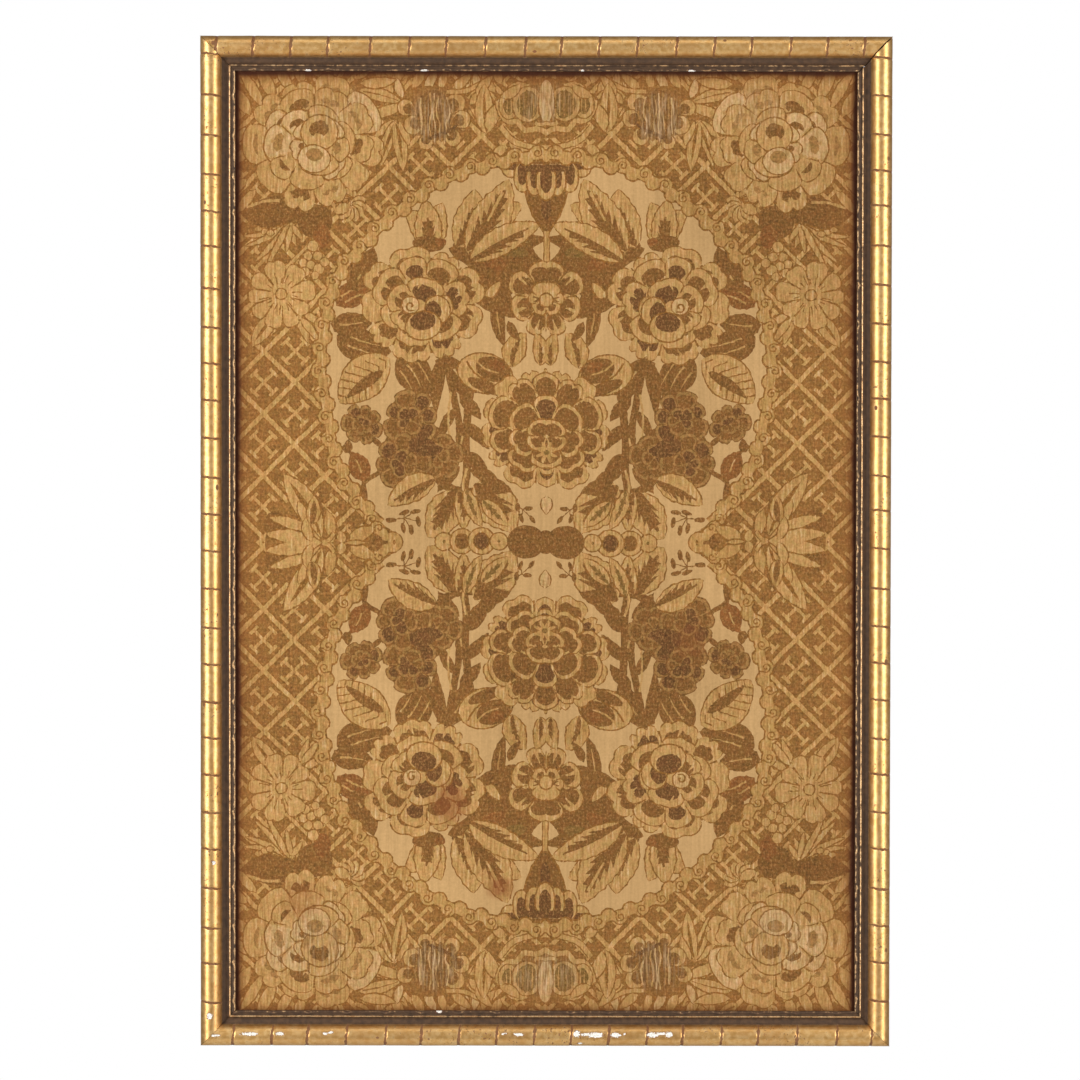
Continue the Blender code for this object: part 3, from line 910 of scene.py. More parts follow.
# ---- the cloth's material --------------------------------------------------------
def silk():
    net = Net("silk_brocade")
    shader = net.shader
    weave = net.attribute("weave")
    tone, floats = weave.outputs["Color"], weave.outputs["Alpha"]

    # warp threads run up the cloth: streaks a thread or two wide and a few millimetres long
    streak = net.noise(1.0, 3.0, 0.62, net.scaled(540, 1, 62))
    streak_long = net.noise(1.0, 2.0, 0.5, net.scaled(330, 1, 12), 7.0)
    # picks of weft run across
    pick = net.noise(1.0, 2.0, 0.6, net.scaled(60, 1, 560), 3.0)
    grain = net.noise(430.0, 3.0, 0.7, None, 1.0)
    speck = net.noise(1.0, 2.0, 0.6, net.scaled(620, 1, 420), 13.0)
    blotch = net.noise(150.0, 4.0, 0.68, None, 5.0)
    broad = net.noise(9.0, 3.0, 0.55, None, 9.0)
    brown = net.math("SUBTRACT", 1.0, net.ramp(floats, 0.16, 0.34))
    figure = net.math("MULTIPLY", net.ramp(floats, 0.34, 0.44), net.math("SUBTRACT", 1.0, net.ramp(floats, 0.7, 0.9)))
    colour = tone
    # the brown weave is mottled olive to red-brown
    hue = net.mix(net.ramp(blotch, 0.36, 0.64), (0.90, 0.99, 0.82), (1.12, 0.98, 0.94))
    colour = net.mix(net.math("ADD", net.math("MULTIPLY", brown, 0.60), net.math("MULTIPLY", figure, 0.62)), colour, net.mix(1.0, colour, hue, "MULTIPLY"))
    # floats of the figure's warp break up the brown, and the brown shows through the figure
    show = net.math("MULTIPLY", net.ramp(speck, 0.50, 0.64), brown)
    colour = net.mix(net.math("MULTIPLY", show, 0.50), colour, srgb(182, 138, 82))
    hide = net.math("MULTIPLY", net.ramp(net.math("SUBTRACT", 1.0, streak), 0.49, 0.63), figure)
    colour = net.mix(net.math("MULTIPLY", hide, 0.48), colour, srgb(158, 112, 56))
    bright = net.math("MULTIPLY", net.ramp(streak, 0.54, 0.70), figure)
    colour = net.mix(net.math("MULTIPLY", bright, 0.40), colour, srgb(226, 194, 140))

    level = net.math("ADD", net.math("MULTIPLY", net.math("SUBTRACT", grain, 0.5), 1.5), net.math("MULTIPLY", net.math("SUBTRACT", streak, 0.5), 0.55))
    level = net.math("MULTIPLY", level, net.math("SUBTRACT", 1.2, net.math("MULTIPLY", floats, 0.95)))
    level = net.math("ADD", level, net.math("MULTIPLY", net.math("SUBTRACT", streak_long, 0.5), 0.30))
    level = net.math("ADD", level, net.math("MULTIPLY", net.math("SUBTRACT", pick, 0.5), net.math("ADD", net.math("MULTIPLY", brown, 0.4), 0.10)))
    level = net.math("ADD", level, net.math("MULTIPLY", net.math("SUBTRACT", broad, 0.5), 0.35))
    gain = net.math("ADD", net.math("MULTIPLY", level, 1.1), 1.0)
    grey = net.node("ShaderNodeCombineColor")
    for socket in grey.inputs[:3]:
        net.link(gain, socket)
    colour = net.mix(1.0, colour, grey.outputs[0], "MULTIPLY")

    # rubbed flowers along the top and bottom: silver grey where the silk has gone from the core
    worn = None
    for cx, cy, rx, ry, most in WORN:
        x, z = chart_to_world(cx, cy)
        here = net.math("MULTIPLY", net.ramp(net.spot(x, z, rx * 0.9 * MM, ry * 0.9 * MM), 0.0, 0.6), most)
        worn = here if worn is None else net.math("MAXIMUM", worn, here)
    thread = net.ramp(net.noise(1.0, 2.0, 0.5, net.scaled(420, 1, 30), 21.0), 0.40, 0.62)
    worn = net.math("MULTIPLY", worn, thread)
    colour = net.mix(worn, colour, net.mix(net.ramp(streak, 0.42, 0.58), srgb(112, 84, 54), srgb(200, 170, 122)))
    # stains
    for cx, cy, rx, ry, most in STAINS:
        x, z = chart_to_world(cx, cy)
        here = net.ramp(net.math("MULTIPLY", net.spot(x, z, rx * 0.9 * MM, ry * 0.9 * MM), net.math("ADD", blotch, 0.5)), 0.05, 0.7)
        colour = net.mix(net.math("MULTIPLY", here, most), colour, srgb(140, 76, 44))
    # painted shadow of the frame along the sight edge, with some dirt: a wide faint painted shade, a darker band of
    # shadow and dirt, and a deep painted shadow at the very edge
    split = net.node("ShaderNodeSeparateXYZ")
    net.link(net.place(), split.inputs[0])
    half_w, half_h = OUTER_W / 2 - RAIL_W, OUTER_H / 2 - RAIL_W
    from_x = net.math("SUBTRACT", half_w, net.math("ABSOLUTE", net.math("SUBTRACT", split.outputs[0], MID_X)))
    up = net.math("SUBTRACT", split.outputs[2], MID_Z)
    from_top = net.math("SUBTRACT", half_h, up)
    # the painted shadow is weaker at the foot, where the lip is lit
    from_foot = net.math("ADD", net.math("ADD", half_h, up), 0.0040)
    nearest = net.math("MINIMUM", from_x, net.math("MINIMUM", from_top, from_foot))
    wander = net.math("MULTIPLY", net.math("SUBTRACT", broad, 0.5), 0.006)
    nearest = net.math("ADD", nearest, net.math("ADD", wander, net.math("MULTIPLY", net.math("SUBTRACT", streak, 0.5), 0.0012)))
    # core: the deepest painted shadow, right at the sight edge
    core = net.math("SUBTRACT", 1.0, net.ramp(nearest, 0.0012, 0.0056))
    shadow_and_dirt = net.math("SUBTRACT", 1.0, net.ramp(nearest, 0.0020, 0.0120))
    shade_haze = net.math("SUBTRACT", 1.0, net.ramp(nearest, 0.0, 0.045))
    colour = net.mix(net.math("MULTIPLY", shade_haze, 0.20), colour, srgb(156, 98, 50))
    colour = net.mix(net.math("MULTIPLY", shadow_and_dirt, 0.62), colour, srgb(108, 60, 27))
    colour = net.mix(net.math("MULTIPLY", core, 0.92), colour, srgb(66, 30, 14))
    colour = net.mix(1.0, colour, (0.712, 0.676, 0.668), "MULTIPLY")
    # the light falls off to the right, and the dark weave is deeper and redder than the light one
    fade = net.ramp(split.outputs[0], MID_X - 0.27, MID_X + 0.15)
    colour = net.mix(fade, colour, (0.915, 0.915, 0.93), "MULTIPLY")
    bands = net.node("ShaderNodeSeparateColor")
    net.link(colour, bands.inputs[0])
    whole = net.node("ShaderNodeCombineColor")
    for k, (gain, bend) in enumerate(((1.058, 1.05), (1.197, 1.10), (2.375, 1.30))):
        net.link(net.math("MULTIPLY", net.math("POWER", bands.outputs[k], bend), gain), whole.inputs[k])
    colour = whole.outputs[0]
    net.link(colour, shader.inputs["Base Color"])

    rough = net.math("SUBTRACT", 0.74, net.math("MULTIPLY", floats, 0.24))
    rough = net.math("ADD", rough, net.math("MULTIPLY", net.math("SUBTRACT", streak, 0.5), 0.2))
    net.link(rough, shader.inputs["Roughness"])
    shader.inputs["Specular IOR Level"].default_value = 0.16
    shader.inputs["Sheen Weight"].default_value = 0.10
    shader.inputs["Sheen Roughness"].default_value = 0.45
    shader.inputs["Sheen Tint"].default_value = (1.0, 0.86, 0.62, 1.0)

    rib = net.node("ShaderNodeTexWave", wave_type="BANDS", bands_direction="Z")
    net.link(net.place(), rib.inputs["Vector"])
    rib.inputs["Scale"].default_value = 520
    rib.inputs["Distortion"].default_value = 1.2
    rib.inputs["Detail"].default_value = 1.0
    height = net.math("ADD", net.math("MULTIPLY", rib.outputs["Fac"], net.math("MULTIPLY", net.math("SUBTRACT", 1.0, floats), 0.35)), net.math("MULTIPLY", streak, 0.65))
    low = net.math("MULTIPLY", net.noise(26.0, 2.0, 0.5, None, 31.0), 1.0)
    normal = net.bump(low, 0.0012, 0.35)
    normal = net.bump(net.math("ADD", height, net.math("MULTIPLY", grain, 0.5)), 0.00022, 0.8, normal)
    net.link(normal, shader.inputs["Normal"])
    return net.material


# rubbed places on the chart: x, y, half width, half height, how far gone
WORN = (
    (434, 118, 36, 34, 0.55), (545, 104, 44, 26, 0.40), (657, 118, 36, 34, 0.55),
    (434, 966, 38, 34, 0.50), (545, 974, 46, 28, 0.45), (657, 966, 38, 34, 0.50),
    (335, 108, 40, 30, 0.28), (756, 108, 40, 30, 0.28), (310, 950, 60, 40, 0.30), (778, 940, 60, 40, 0.30),
)
STAINS = ((450, 803, 26, 30, 0.5), (500, 888, 20, 16, 0.55), (690, 640, 24, 30, 0.25), (300, 900, 30, 30, 0.25))


# ---- the cloth --------------------------------------------------------------------
def slack(x, z):
    """How far the cloth stands forward of flat, as its solid does."""
    inset = min(CLOTH_W / 2 - abs(x), CLOTH_H / 2 - abs(z))
    free = min(1.0, max(0.0, (inset - EDGE_FLAT / 2) / (2 * EDGE_FLAT)))
    wave = (
        0.45 * math.sin(x / 0.061 + 0.8)
        + 0.35 * math.sin(z / 0.083 - x / 0.21)
        + 0.20 * math.sin((x + z) / 0.049 + 2.1)
    )
    return SLACK * free * wave


def drift(x, z):
    """Small pulls of the cloth out of square, none at its cut edge."""
    inset = min(CLOTH_W / 2 - abs(x), CLOTH_H / 2 - abs(z))
    free = min(1.0, max(0.0, inset / 0.05))
    a = noise.noise(Vector((x * 7.0, z * 7.0, 3.1)))
    b = noise.noise(Vector((x * 7.0, z * 7.0, 8.7)))
    c = noise.noise(Vector((x * 28.0, z * 28.0, 5.2)))
    return x + free * (2.0 * a + 0.5 * c) * MM, z + free * (2.2 * b - 0.4 * c) * MM


def patches():
    """One quarter of the chart cut into triangles: points, triangles and each one's tone."""
    left, right = CENTRE[0] - CLOTH_W / 2 / (0.9 * MM), CENTRE[0]
    top, bottom = CENTRE[1] - CLOTH_H / 2 / (0.9 * MM), CENTRE[1]
    box = (left, right, top, bottom)
    points, faces, tones, sizes = [], [], [], []
    for tone, outline in [(GROUND, [(left, top), (right, top), (right, bottom), (left, bottom)]), *draw()]:
        area = sum(outline[i - 1][0] * outline[i][1] - outline[i][0] * outline[i - 1][1] for i in range(len(outline)))
        first = len(points)
        sizes.append(abs(area) / 2)
        points += [Vector(p) for p in (outline if area > 0 else outline[::-1])]
        faces.append(list(range(first, len(points))))
        tones.append(tone)
    where, tris, over = cut(points, [], faces, box)
    # a shape whose outline crosses itself spills over everything: it is left out
    p = where[np.array(tris)]
    areas = np.abs((p[:, 1, 0] - p[:, 0, 0]) * (p[:, 2, 1] - p[:, 0, 1]) - (p[:, 2, 0] - p[:, 0, 0]) * (p[:, 1, 1] - p[:, 0, 1])) / 2
    held = np.zeros(len(faces))
    for share, ids in zip(areas, over):
        for i in ids:
            held[i] += share
    spilt = {i for i, size in enumerate(held) if size > 1.5 * sizes[i] + 30}
    tone_of = [tones[max(set(ids) - spilt)] for ids in over]
    # keep only the lines between different tones, smooth them, and cut again
    sides = {}
    for i, face in enumerate(tris):
        for a, b in zip(face, (*face[1:], face[0])):
            sides.setdefault((min(a, b), max(a, b)), []).append(i)
    lines = [e for e, both in sides.items() if len(both) == 1 or tone_of[both[0]] != tone_of[both[1]]]
    runs = smooth_runs(where, lines)
    points, edges = woven(where, runs, box)
    finder = BVHTree.FromPolygons([(x, y, 0.0) for x, y in where], tris)
    finer, parts, _ = cut(points, edges, [], box)
    tone_of = recolour(finer, parts, finder, tone_of)
    return finer, parts, tone_of, box


def recolour(finer, parts, finder, tone_of):
    """The tone of each new triangle: that of the old one under its middle."""
    middle = finer[np.array(parts)].mean(axis=1)
    found = (finder.ray_cast(Vector((x, y, 1.0)), Vector((0, 0, -1)))[2] for x, y in middle)
    return [GROUND if hit is None else tone_of[hit] for hit in found]


def cut(points, edges, faces, box):
    """Triangles over the points, those outside the box left out."""
    left, right, top, bottom = box
    out = delaunay_2d_cdt(points, edges, faces, 0, 0.005)
    where = np.array([tuple(v) for v in out[0]])
    middle = where[np.array([tuple(f) for f in out[2]])].mean(axis=1)
    inside_box = (middle[:, 0] > left) & (middle[:, 0] < right) & (middle[:, 1] > top) & (middle[:, 1] < bottom)
    keep = np.nonzero(inside_box)[0]
    return where, [tuple(out[2][i]) for i in keep], [out[5][i] for i in keep] if faces else None


def smooth_runs(where, lines, most=0.13):
    """The lines as runs between the points where they meet, with points on nearly straight stretches left out."""
    near = {}
    for a, b in lines:
        near.setdefault(a, []).append(b)
        near.setdefault(b, []).append(a)
    ends = {v for v, others in near.items() if len(others) != 2}
    done, runs = set(), []

    def follow(a, b):
        run = [a, b]
        done.add((min(a, b), max(a, b)))
        while run[-1] not in ends and run[-1] != run[0]:
            p, q = near[run[-1]]
            step = q if p == run[-2] else p
            done.add((min(run[-1], step), max(run[-1], step)))
            run.append(step)
        return run

    for start in [*sorted(ends), *sorted(near)]:
        for other in near[start]:
            if (min(start, other), max(start, other)) not in done:
                runs.append(follow(start, other))

    def thin(run):
        if len(run) < 3:
            return run
        p = where[run]
        d = p[-1] - p[0]
        size = math.hypot(*d)
        if size < 1e-6:
            off = np.hypot(*(p - p[0]).T)
        else:
            off = np.abs(d[0] * (p[:, 1] - p[0, 1]) - d[1] * (p[:, 0] - p[0, 0])) / size
        far = int(off.argmax())
        if off[far] < most:
            return [run[0], run[-1]]
        return thin(run[: far + 1])[:-1] + thin(run[far:])

    return [thin(run) for run in runs]


def woven(where, runs, box, step=2.3):
    """The runs cut into short steps that waver from thread to thread: new points and edges."""
    left, right, top, bottom = box
    points, edges, number = [], [], {}

    def point(key, x, y):
        if key not in number:
            number[key] = len(points)
            if left + 1 < x < right - 1 and top + 1 < y < bottom - 1:
                wander = noise.noise_vector(Vector((x * 0.30, y * 0.22, 4.0)))
                quick = noise.noise_vector(Vector((x * 0.93, y * 0.71, 9.0)))
                x += 0.55 * wander.x + 0.60 * quick.x
                y += 0.55 * wander.y + 0.95 * quick.y
            points.append(Vector((x, y)))
        return number[key]

    for run in runs:
        for a, b in zip(run, run[1:]):
            p, q = where[a], where[b]
            n = max(1, round(math.hypot(*(q - p)) / step))
            last = point(a, *p)
            for k in range(1, n + 1):
                here = point(b, *q) if k == n else point((a, b, k), *(p + (q - p) * k / n))
                if here != last:
                    edges.append((last, here))
                last = here
    return points, edges


def cloth_piece():
    where, tris, tones, box = patches()
    verts, faces, tints, spots = [], [], [], []
    number = {}

    def vertex(x, y):
        key = (round(x, 4), round(y, 4))
        if key not in number:
            number[key] = len(verts)
            verts.append(key)
        return number[key]

    # the quarter, turned over for the other three as the loom's harness does
    for across, down in ((1, 1), (-1, 1), (1, -1), (-1, -1)):
        ids = []
        for x, y in where:
            x = CENTRE[0] if abs(x - CENTRE[0]) < 2e-3 else x
            y = CENTRE[1] if abs(y - CENTRE[1]) < 2e-3 else y
            ids.append(vertex(CENTRE[0] + across * (x - CENTRE[0]), CENTRE[1] + down * (y - CENTRE[1])))
        for face, tone in zip(tris, tones):
            f = tuple(ids[v] for v in (face if across * down > 0 else face[::-1]))
            # a sliver lying along a fold is dropped: its neighbours meet without it
            xs, ys = {verts[v][0] for v in f}, {verts[v][1] for v in f}
            if len(set(f)) == 3 and len(xs) > 1 and len(ys) > 1:
                faces.append(f)
                tints.append(tone)
    placed = []
    for x, y in verts:
        px, pz = (x - CENTRE[0]) * 0.9 * MM, (CENTRE[1] - y) * 0.9 * MM
        sx, sz = drift(px, pz)
        placed.append((MID_X + sx, -CLOTH_FRONT - slack(sx, sz), MID_Z + sz))
        spots.append((px, pz))
    # the front faces look to -Y
    a, b, c = (np.array(placed[i]) for i in faces[0])
    if np.cross(b - a, c - a)[1] > 0:
        faces = [f[::-1] for f in faces]
    # the reverse: the same rim, and an even net of points within it
    rim = {}
    for f in faces:
        for a, b in zip(f, (*f[1:], f[0])):
            rim[(a, b)] = rim.get((a, b), 0) + 1
    rim_edges = [(a, b) for (a, b) in rim if (b, a) not in rim]
    rim_ids = sorted({v for e in rim_edges for v in e})
    back_of = {}
    back_points = []
    for i in rim_ids:
        back_of[i] = len(back_points)
        back_points.append(Vector(spots[i]))
    edges = [(back_of[a], back_of[b]) for a, b in rim_edges]
    columns, rows = 56, 84
    for i in range(1, columns):
        for j in range(1, rows):
            back_points.append(Vector(((i / columns - 0.5) * CLOTH_W, (j / rows - 0.5) * CLOTH_H)))
    out = delaunay_2d_cdt(back_points, edges, [], 0, 1e-7)
    first = len(placed)
    twin = {}
    for k, v in enumerate(out[0]):
        x, z = v
        sx, sz = drift(x, z)
        placed.append((MID_X + sx, -CLOTH_FRONT - slack(sx, sz) + CLOTH_T, MID_Z + sz))
        for source in out[3][k]:
            twin[source] = first + k
    for f in out[2]:
        p = [placed[first + v] for v in f]
        turn = np.cross(np.array(p[1]) - p[0], np.array(p[2]) - p[0])[1]
        faces.append(tuple(first + v for v in (f if turn > 0 else f[::-1])))
        tints.append("back")
    for a, b in rim_edges:
        faces.append((b, a, twin[back_of[a]], twin[back_of[b]]))
        tints.append("edge")
    mesh = bpy.data.meshes.new("brocade")
    mesh.from_pydata(placed, [], faces)
    piece = bpy.data.objects.new("brocade", mesh)
    scene.collection.objects.link(piece)
    # colour of the weave on each face, and a flat layout for its surface
    colours = np.zeros((len(mesh.loops), 4), np.float32)
    flat = np.zeros((len(mesh.loops), 2), np.float32)
    co = np.zeros(len(mesh.vertices) * 3)
    mesh.vertices.foreach_get("co", co)
    co = co.reshape(-1, 3)
    back_tone = (*srgb(164, 122, 72), 0.3)
    for poly, tint in zip(mesh.polygons, tints):
        span = slice(poly.loop_start, poly.loop_start + poly.loop_total)
        colours[span] = back_tone if isinstance(tint, str) else (*WEAVE[tint][0], WEAVE[tint][1])
        p = co[list(poly.vertices)]
        s, t = (p[:, 0] - MID_X) / CLOTH_W + 0.5, (p[:, 2] - MID_Z) / CLOTH_H + 0.5
        if tint == "back":
            flat[span] = np.stack([0.670 + 0.32 * s, 0.01 + 0.48 * t], 1)
        elif tint == "edge":
            flat[span] = np.stack([0.70 + 0.2 * s, 0.55 + 0.3 * t + (p[:, 1] + CLOTH_FRONT) * 4], 1)
        else:
            flat[span] = np.stack([0.008 + 0.645 * s, 0.01 + 0.98 * t], 1)
    layer = mesh.color_attributes.new("weave", "FLOAT_COLOR", "CORNER")
    layer.data.foreach_set("color", colours.ravel())
    uv = mesh.uv_layers.new(name="OFBake")
    uv.data.foreach_set("uv", flat.ravel())
    mesh.materials.append(silk())
    print("brocade", len(mesh.polygons), "faces")
    return piece


# ---- the rails ----------------------------------------------------------------------
JOINTS_LEFT = (
    17, 54, 90, 125, 158, 189, 227, 262, 294, 327, 361, 396, 429,
    462, 496, 531, 564, 598, 630, 663, 697, 730, 765, 801, 833, 868,
)
JOINTS_RIGHT = (
    20, 54, 89, 121, 152, 188, 223, 258, 292, 325, 359, 394, 425,
    459, 495, 529, 562, 595, 630, 662, 696, 729, 765, 798, 831, 866,
)
JOINTS_TOP = (15, 48, 82, 115, 153, 188, 221, 256, 292, 324, 358, 392, 427, 461, 494, 529, 562, 595)
JOINTS_BOTTOM = (30, 65, 97, 132, 167, 199, 233, 267, 301, 334, 368, 402, 434, 469, 502, 537, 573, 604)

ROD_U, ROD_Y = 9.8, 10.25
# chips in the gilding: how far along the rail, how far in from its outer edge, length, width, depth (mm), and what shows
CHIPS = {
    "rail_bottom": (
        (14.4, 10.6, 11, 2.6, 0.2, "gesso"), (45, 12, 18, 3.4, 0.25, "gesso"), (72, 12.4, 9, 3.6, 0.25, "gesso"),
        (113, 12.4, 5.5, 3, 0.2, "gesso"), (118, 13.6, 6, 2.4, 0.2, "gesso"), (215, 30.8, 7, 3, 0.3, "gesso"),
        (274, 12.3, 7, 1.9, 0.15, "gesso"), (287, 11.8, 12.5, 3, 0.2, "gesso"), (339, 12.4, 7.5, 6.5, 0.3, "gesso"),
        (347, 12, 11, 3.2, 0.25, "gesso"), (356, 11.4, 15, 5.6, 0.3, "gesso"), (342, 3.6, 6, 2, 0.2, "gesso"),
        (374, 11.5, 10, 5, 0.3, "gesso"), (382, 12.4, 2.6, 2.4, 0.15, "gesso"), (407, 11.6, 12, 5.2, 0.3, "gesso"),
        (415, 12.8, 10, 2.8, 0.2, "gesso"), (422, 12, 7.5, 5.6, 0.3, "gesso"), (160, 9, 4, 2.4, 0.2, "bole"), (502, 15, 4, 3, 0.2, "bole"),
    ),
    "rail_top": (
        (12.5, 8, 5, 5, 0.35, "bole"), (97, 31, 7.5, 2.4, 0.3, "gesso"), (201, 31, 7.5, 2.4, 0.3, "gesso"), (343, 31, 3.6, 2.4, 0.3, "gesso"),
        (441, 31, 7, 2.4, 0.3, "gesso"), (300, 15, 5, 3, 0.2, "bole"), (470, 5, 4, 3, 0.2, "bole"),
    ),
    "rail_left": ((150, 5, 5, 3, 0.2, "bole"), (405, 16, 6, 3, 0.2, "bole"), (600, 4, 5, 3, 0.25, "bole"), (742, 13, 4, 4, 0.2, "gesso"), (880, 9, 7, 6, 0.35, "gesso")),
    "rail_right": ((110, 4, 5, 3, 0.2, "bole"), (333, 15, 5, 3, 0.2, "bole"), (560, 5, 5, 4, 0.25, "bole"), (820, 4, 5, 3, 0.2, "bole"), (890, 30, 8, 3, 0.3, "bole")),
}


def section(near, lean, wob, lines, shaded):
    """The moulding across the rail at one place: (in from the outer edge, forward of the back, gilt, dark, raw).

    near is 1 in the cut of a joint and 0 away from it, tight and broad; lean swells the segment towards its ends.
    lines: how much gilding shows on the lip and on the bead, rubbed, and lower still on the top and bottom rails as
    painted shade; shaded: the round's outer edge and outer side are painted dark, as shade on an underside.
    """
    # lip and bead: rubbed gilding, lowered on the top and bottom rails as painted shade
    lip, bead = lines
    full = 9.50 + 0.10 * lean - 0.10 * near[1]
    points = [
        (1.3, 0.0, 0, 0, 1), (9.0, 0.0, 0, 0, 1), (17.0, 0.0, 0, 0, 1), (25.4, 0.0, 0, 0, 1),
        (25.4, 3.5, 0, 0, 1), (25.4, 7.0, 0, 0, 1), (28.6, 7.0, 0, 0, 1), (31.3, 7.0, 0, 0, 0.8),
    ]
    nick = 1.5 * wob
    edge = 31.45 - 0.55 * wob
    points += [
        (edge, 7.3, 0.30 * lip, 0.5, 0), (edge, 9.0, 0.45 * lip, 0.3, 0), (edge - 0.35 - nick * 0.2, 9.9, 0.62 * lip, 0.1, 0),
        (30.6 - nick * 0.7, 10.25, 0.62 * lip, 0.0, 0), (29.9 - nick, 10.1, 0.42 * lip, 0.3, 0), (29.3 - nick, 9.6, 0.0, 0.9, 0),
        (28.6 - nick * 0.3, 9.05, 0, 1, 0), (27.8, 9.1, 0, 1, 0), (27.45, 9.7, 0.1, 0.9, 0), (27.2, 10.3, 0.55 * bead, 0.2, 0),
        (26.75, 10.75, 0.66 * bead, 0, 0), (26.2, 10.7, 0.64 * bead, 0.0, 0), (25.85, 10.35, 0.45 * bead, 0.5, 0), (25.55, 9.85, 0.0, 1, 0),
        (25.1, 9.2, 0, 1, 0), (24.2, 8.6, 0, 1, 0), (23.2, 8.3, 0, 1, 0), (22.2, 8.35, 0, 1, 0), (21.2, 8.8, 0, 1, 0),
        (20.5, 9.35, 0, 1, 0), (20.0, 9.95, 0, 1, 0), (19.62, 10.35, 0.15, 0.85, 0),
    ]
    steps = 26
    for k in range(steps + 1):
        a = math.radians(3.5 + (181.0 - 3.5) * k / steps)
        # a joint is cut deepest over the front of the round
        r = full - near[0] * (0.10 + 0.62 * max(0.0, math.sin(a)) ** 0.7)
        # on the bottom rail the last points round the round are painted dark as shade on its underside
        gold = 0.25 if shaded and k >= steps - 2 else 1.0
        points.append((ROD_U + r * math.cos(a), ROD_Y + r * math.sin(a), gold, 1 - gold, 0))
    # the outer side is painted dark as shade on the bottom rail
    outer = 0.2 if shaded else 0.8
    points += [
        (0.75 + 0.2 * near[0], 9.4, outer, 0, 0.2), (1.25, 8.2, 0.35 * outer, 0.1, 0.6), (1.3, 5.0, 0.1, 0.1, 0.8), (1.3, 2.0, 0, 0.1, 1),
    ]
    return points


DEEP = 19.7  # mm, the moulding's depth
SLANT = -0.95  # mm, how far the saw cuts lean over half the round


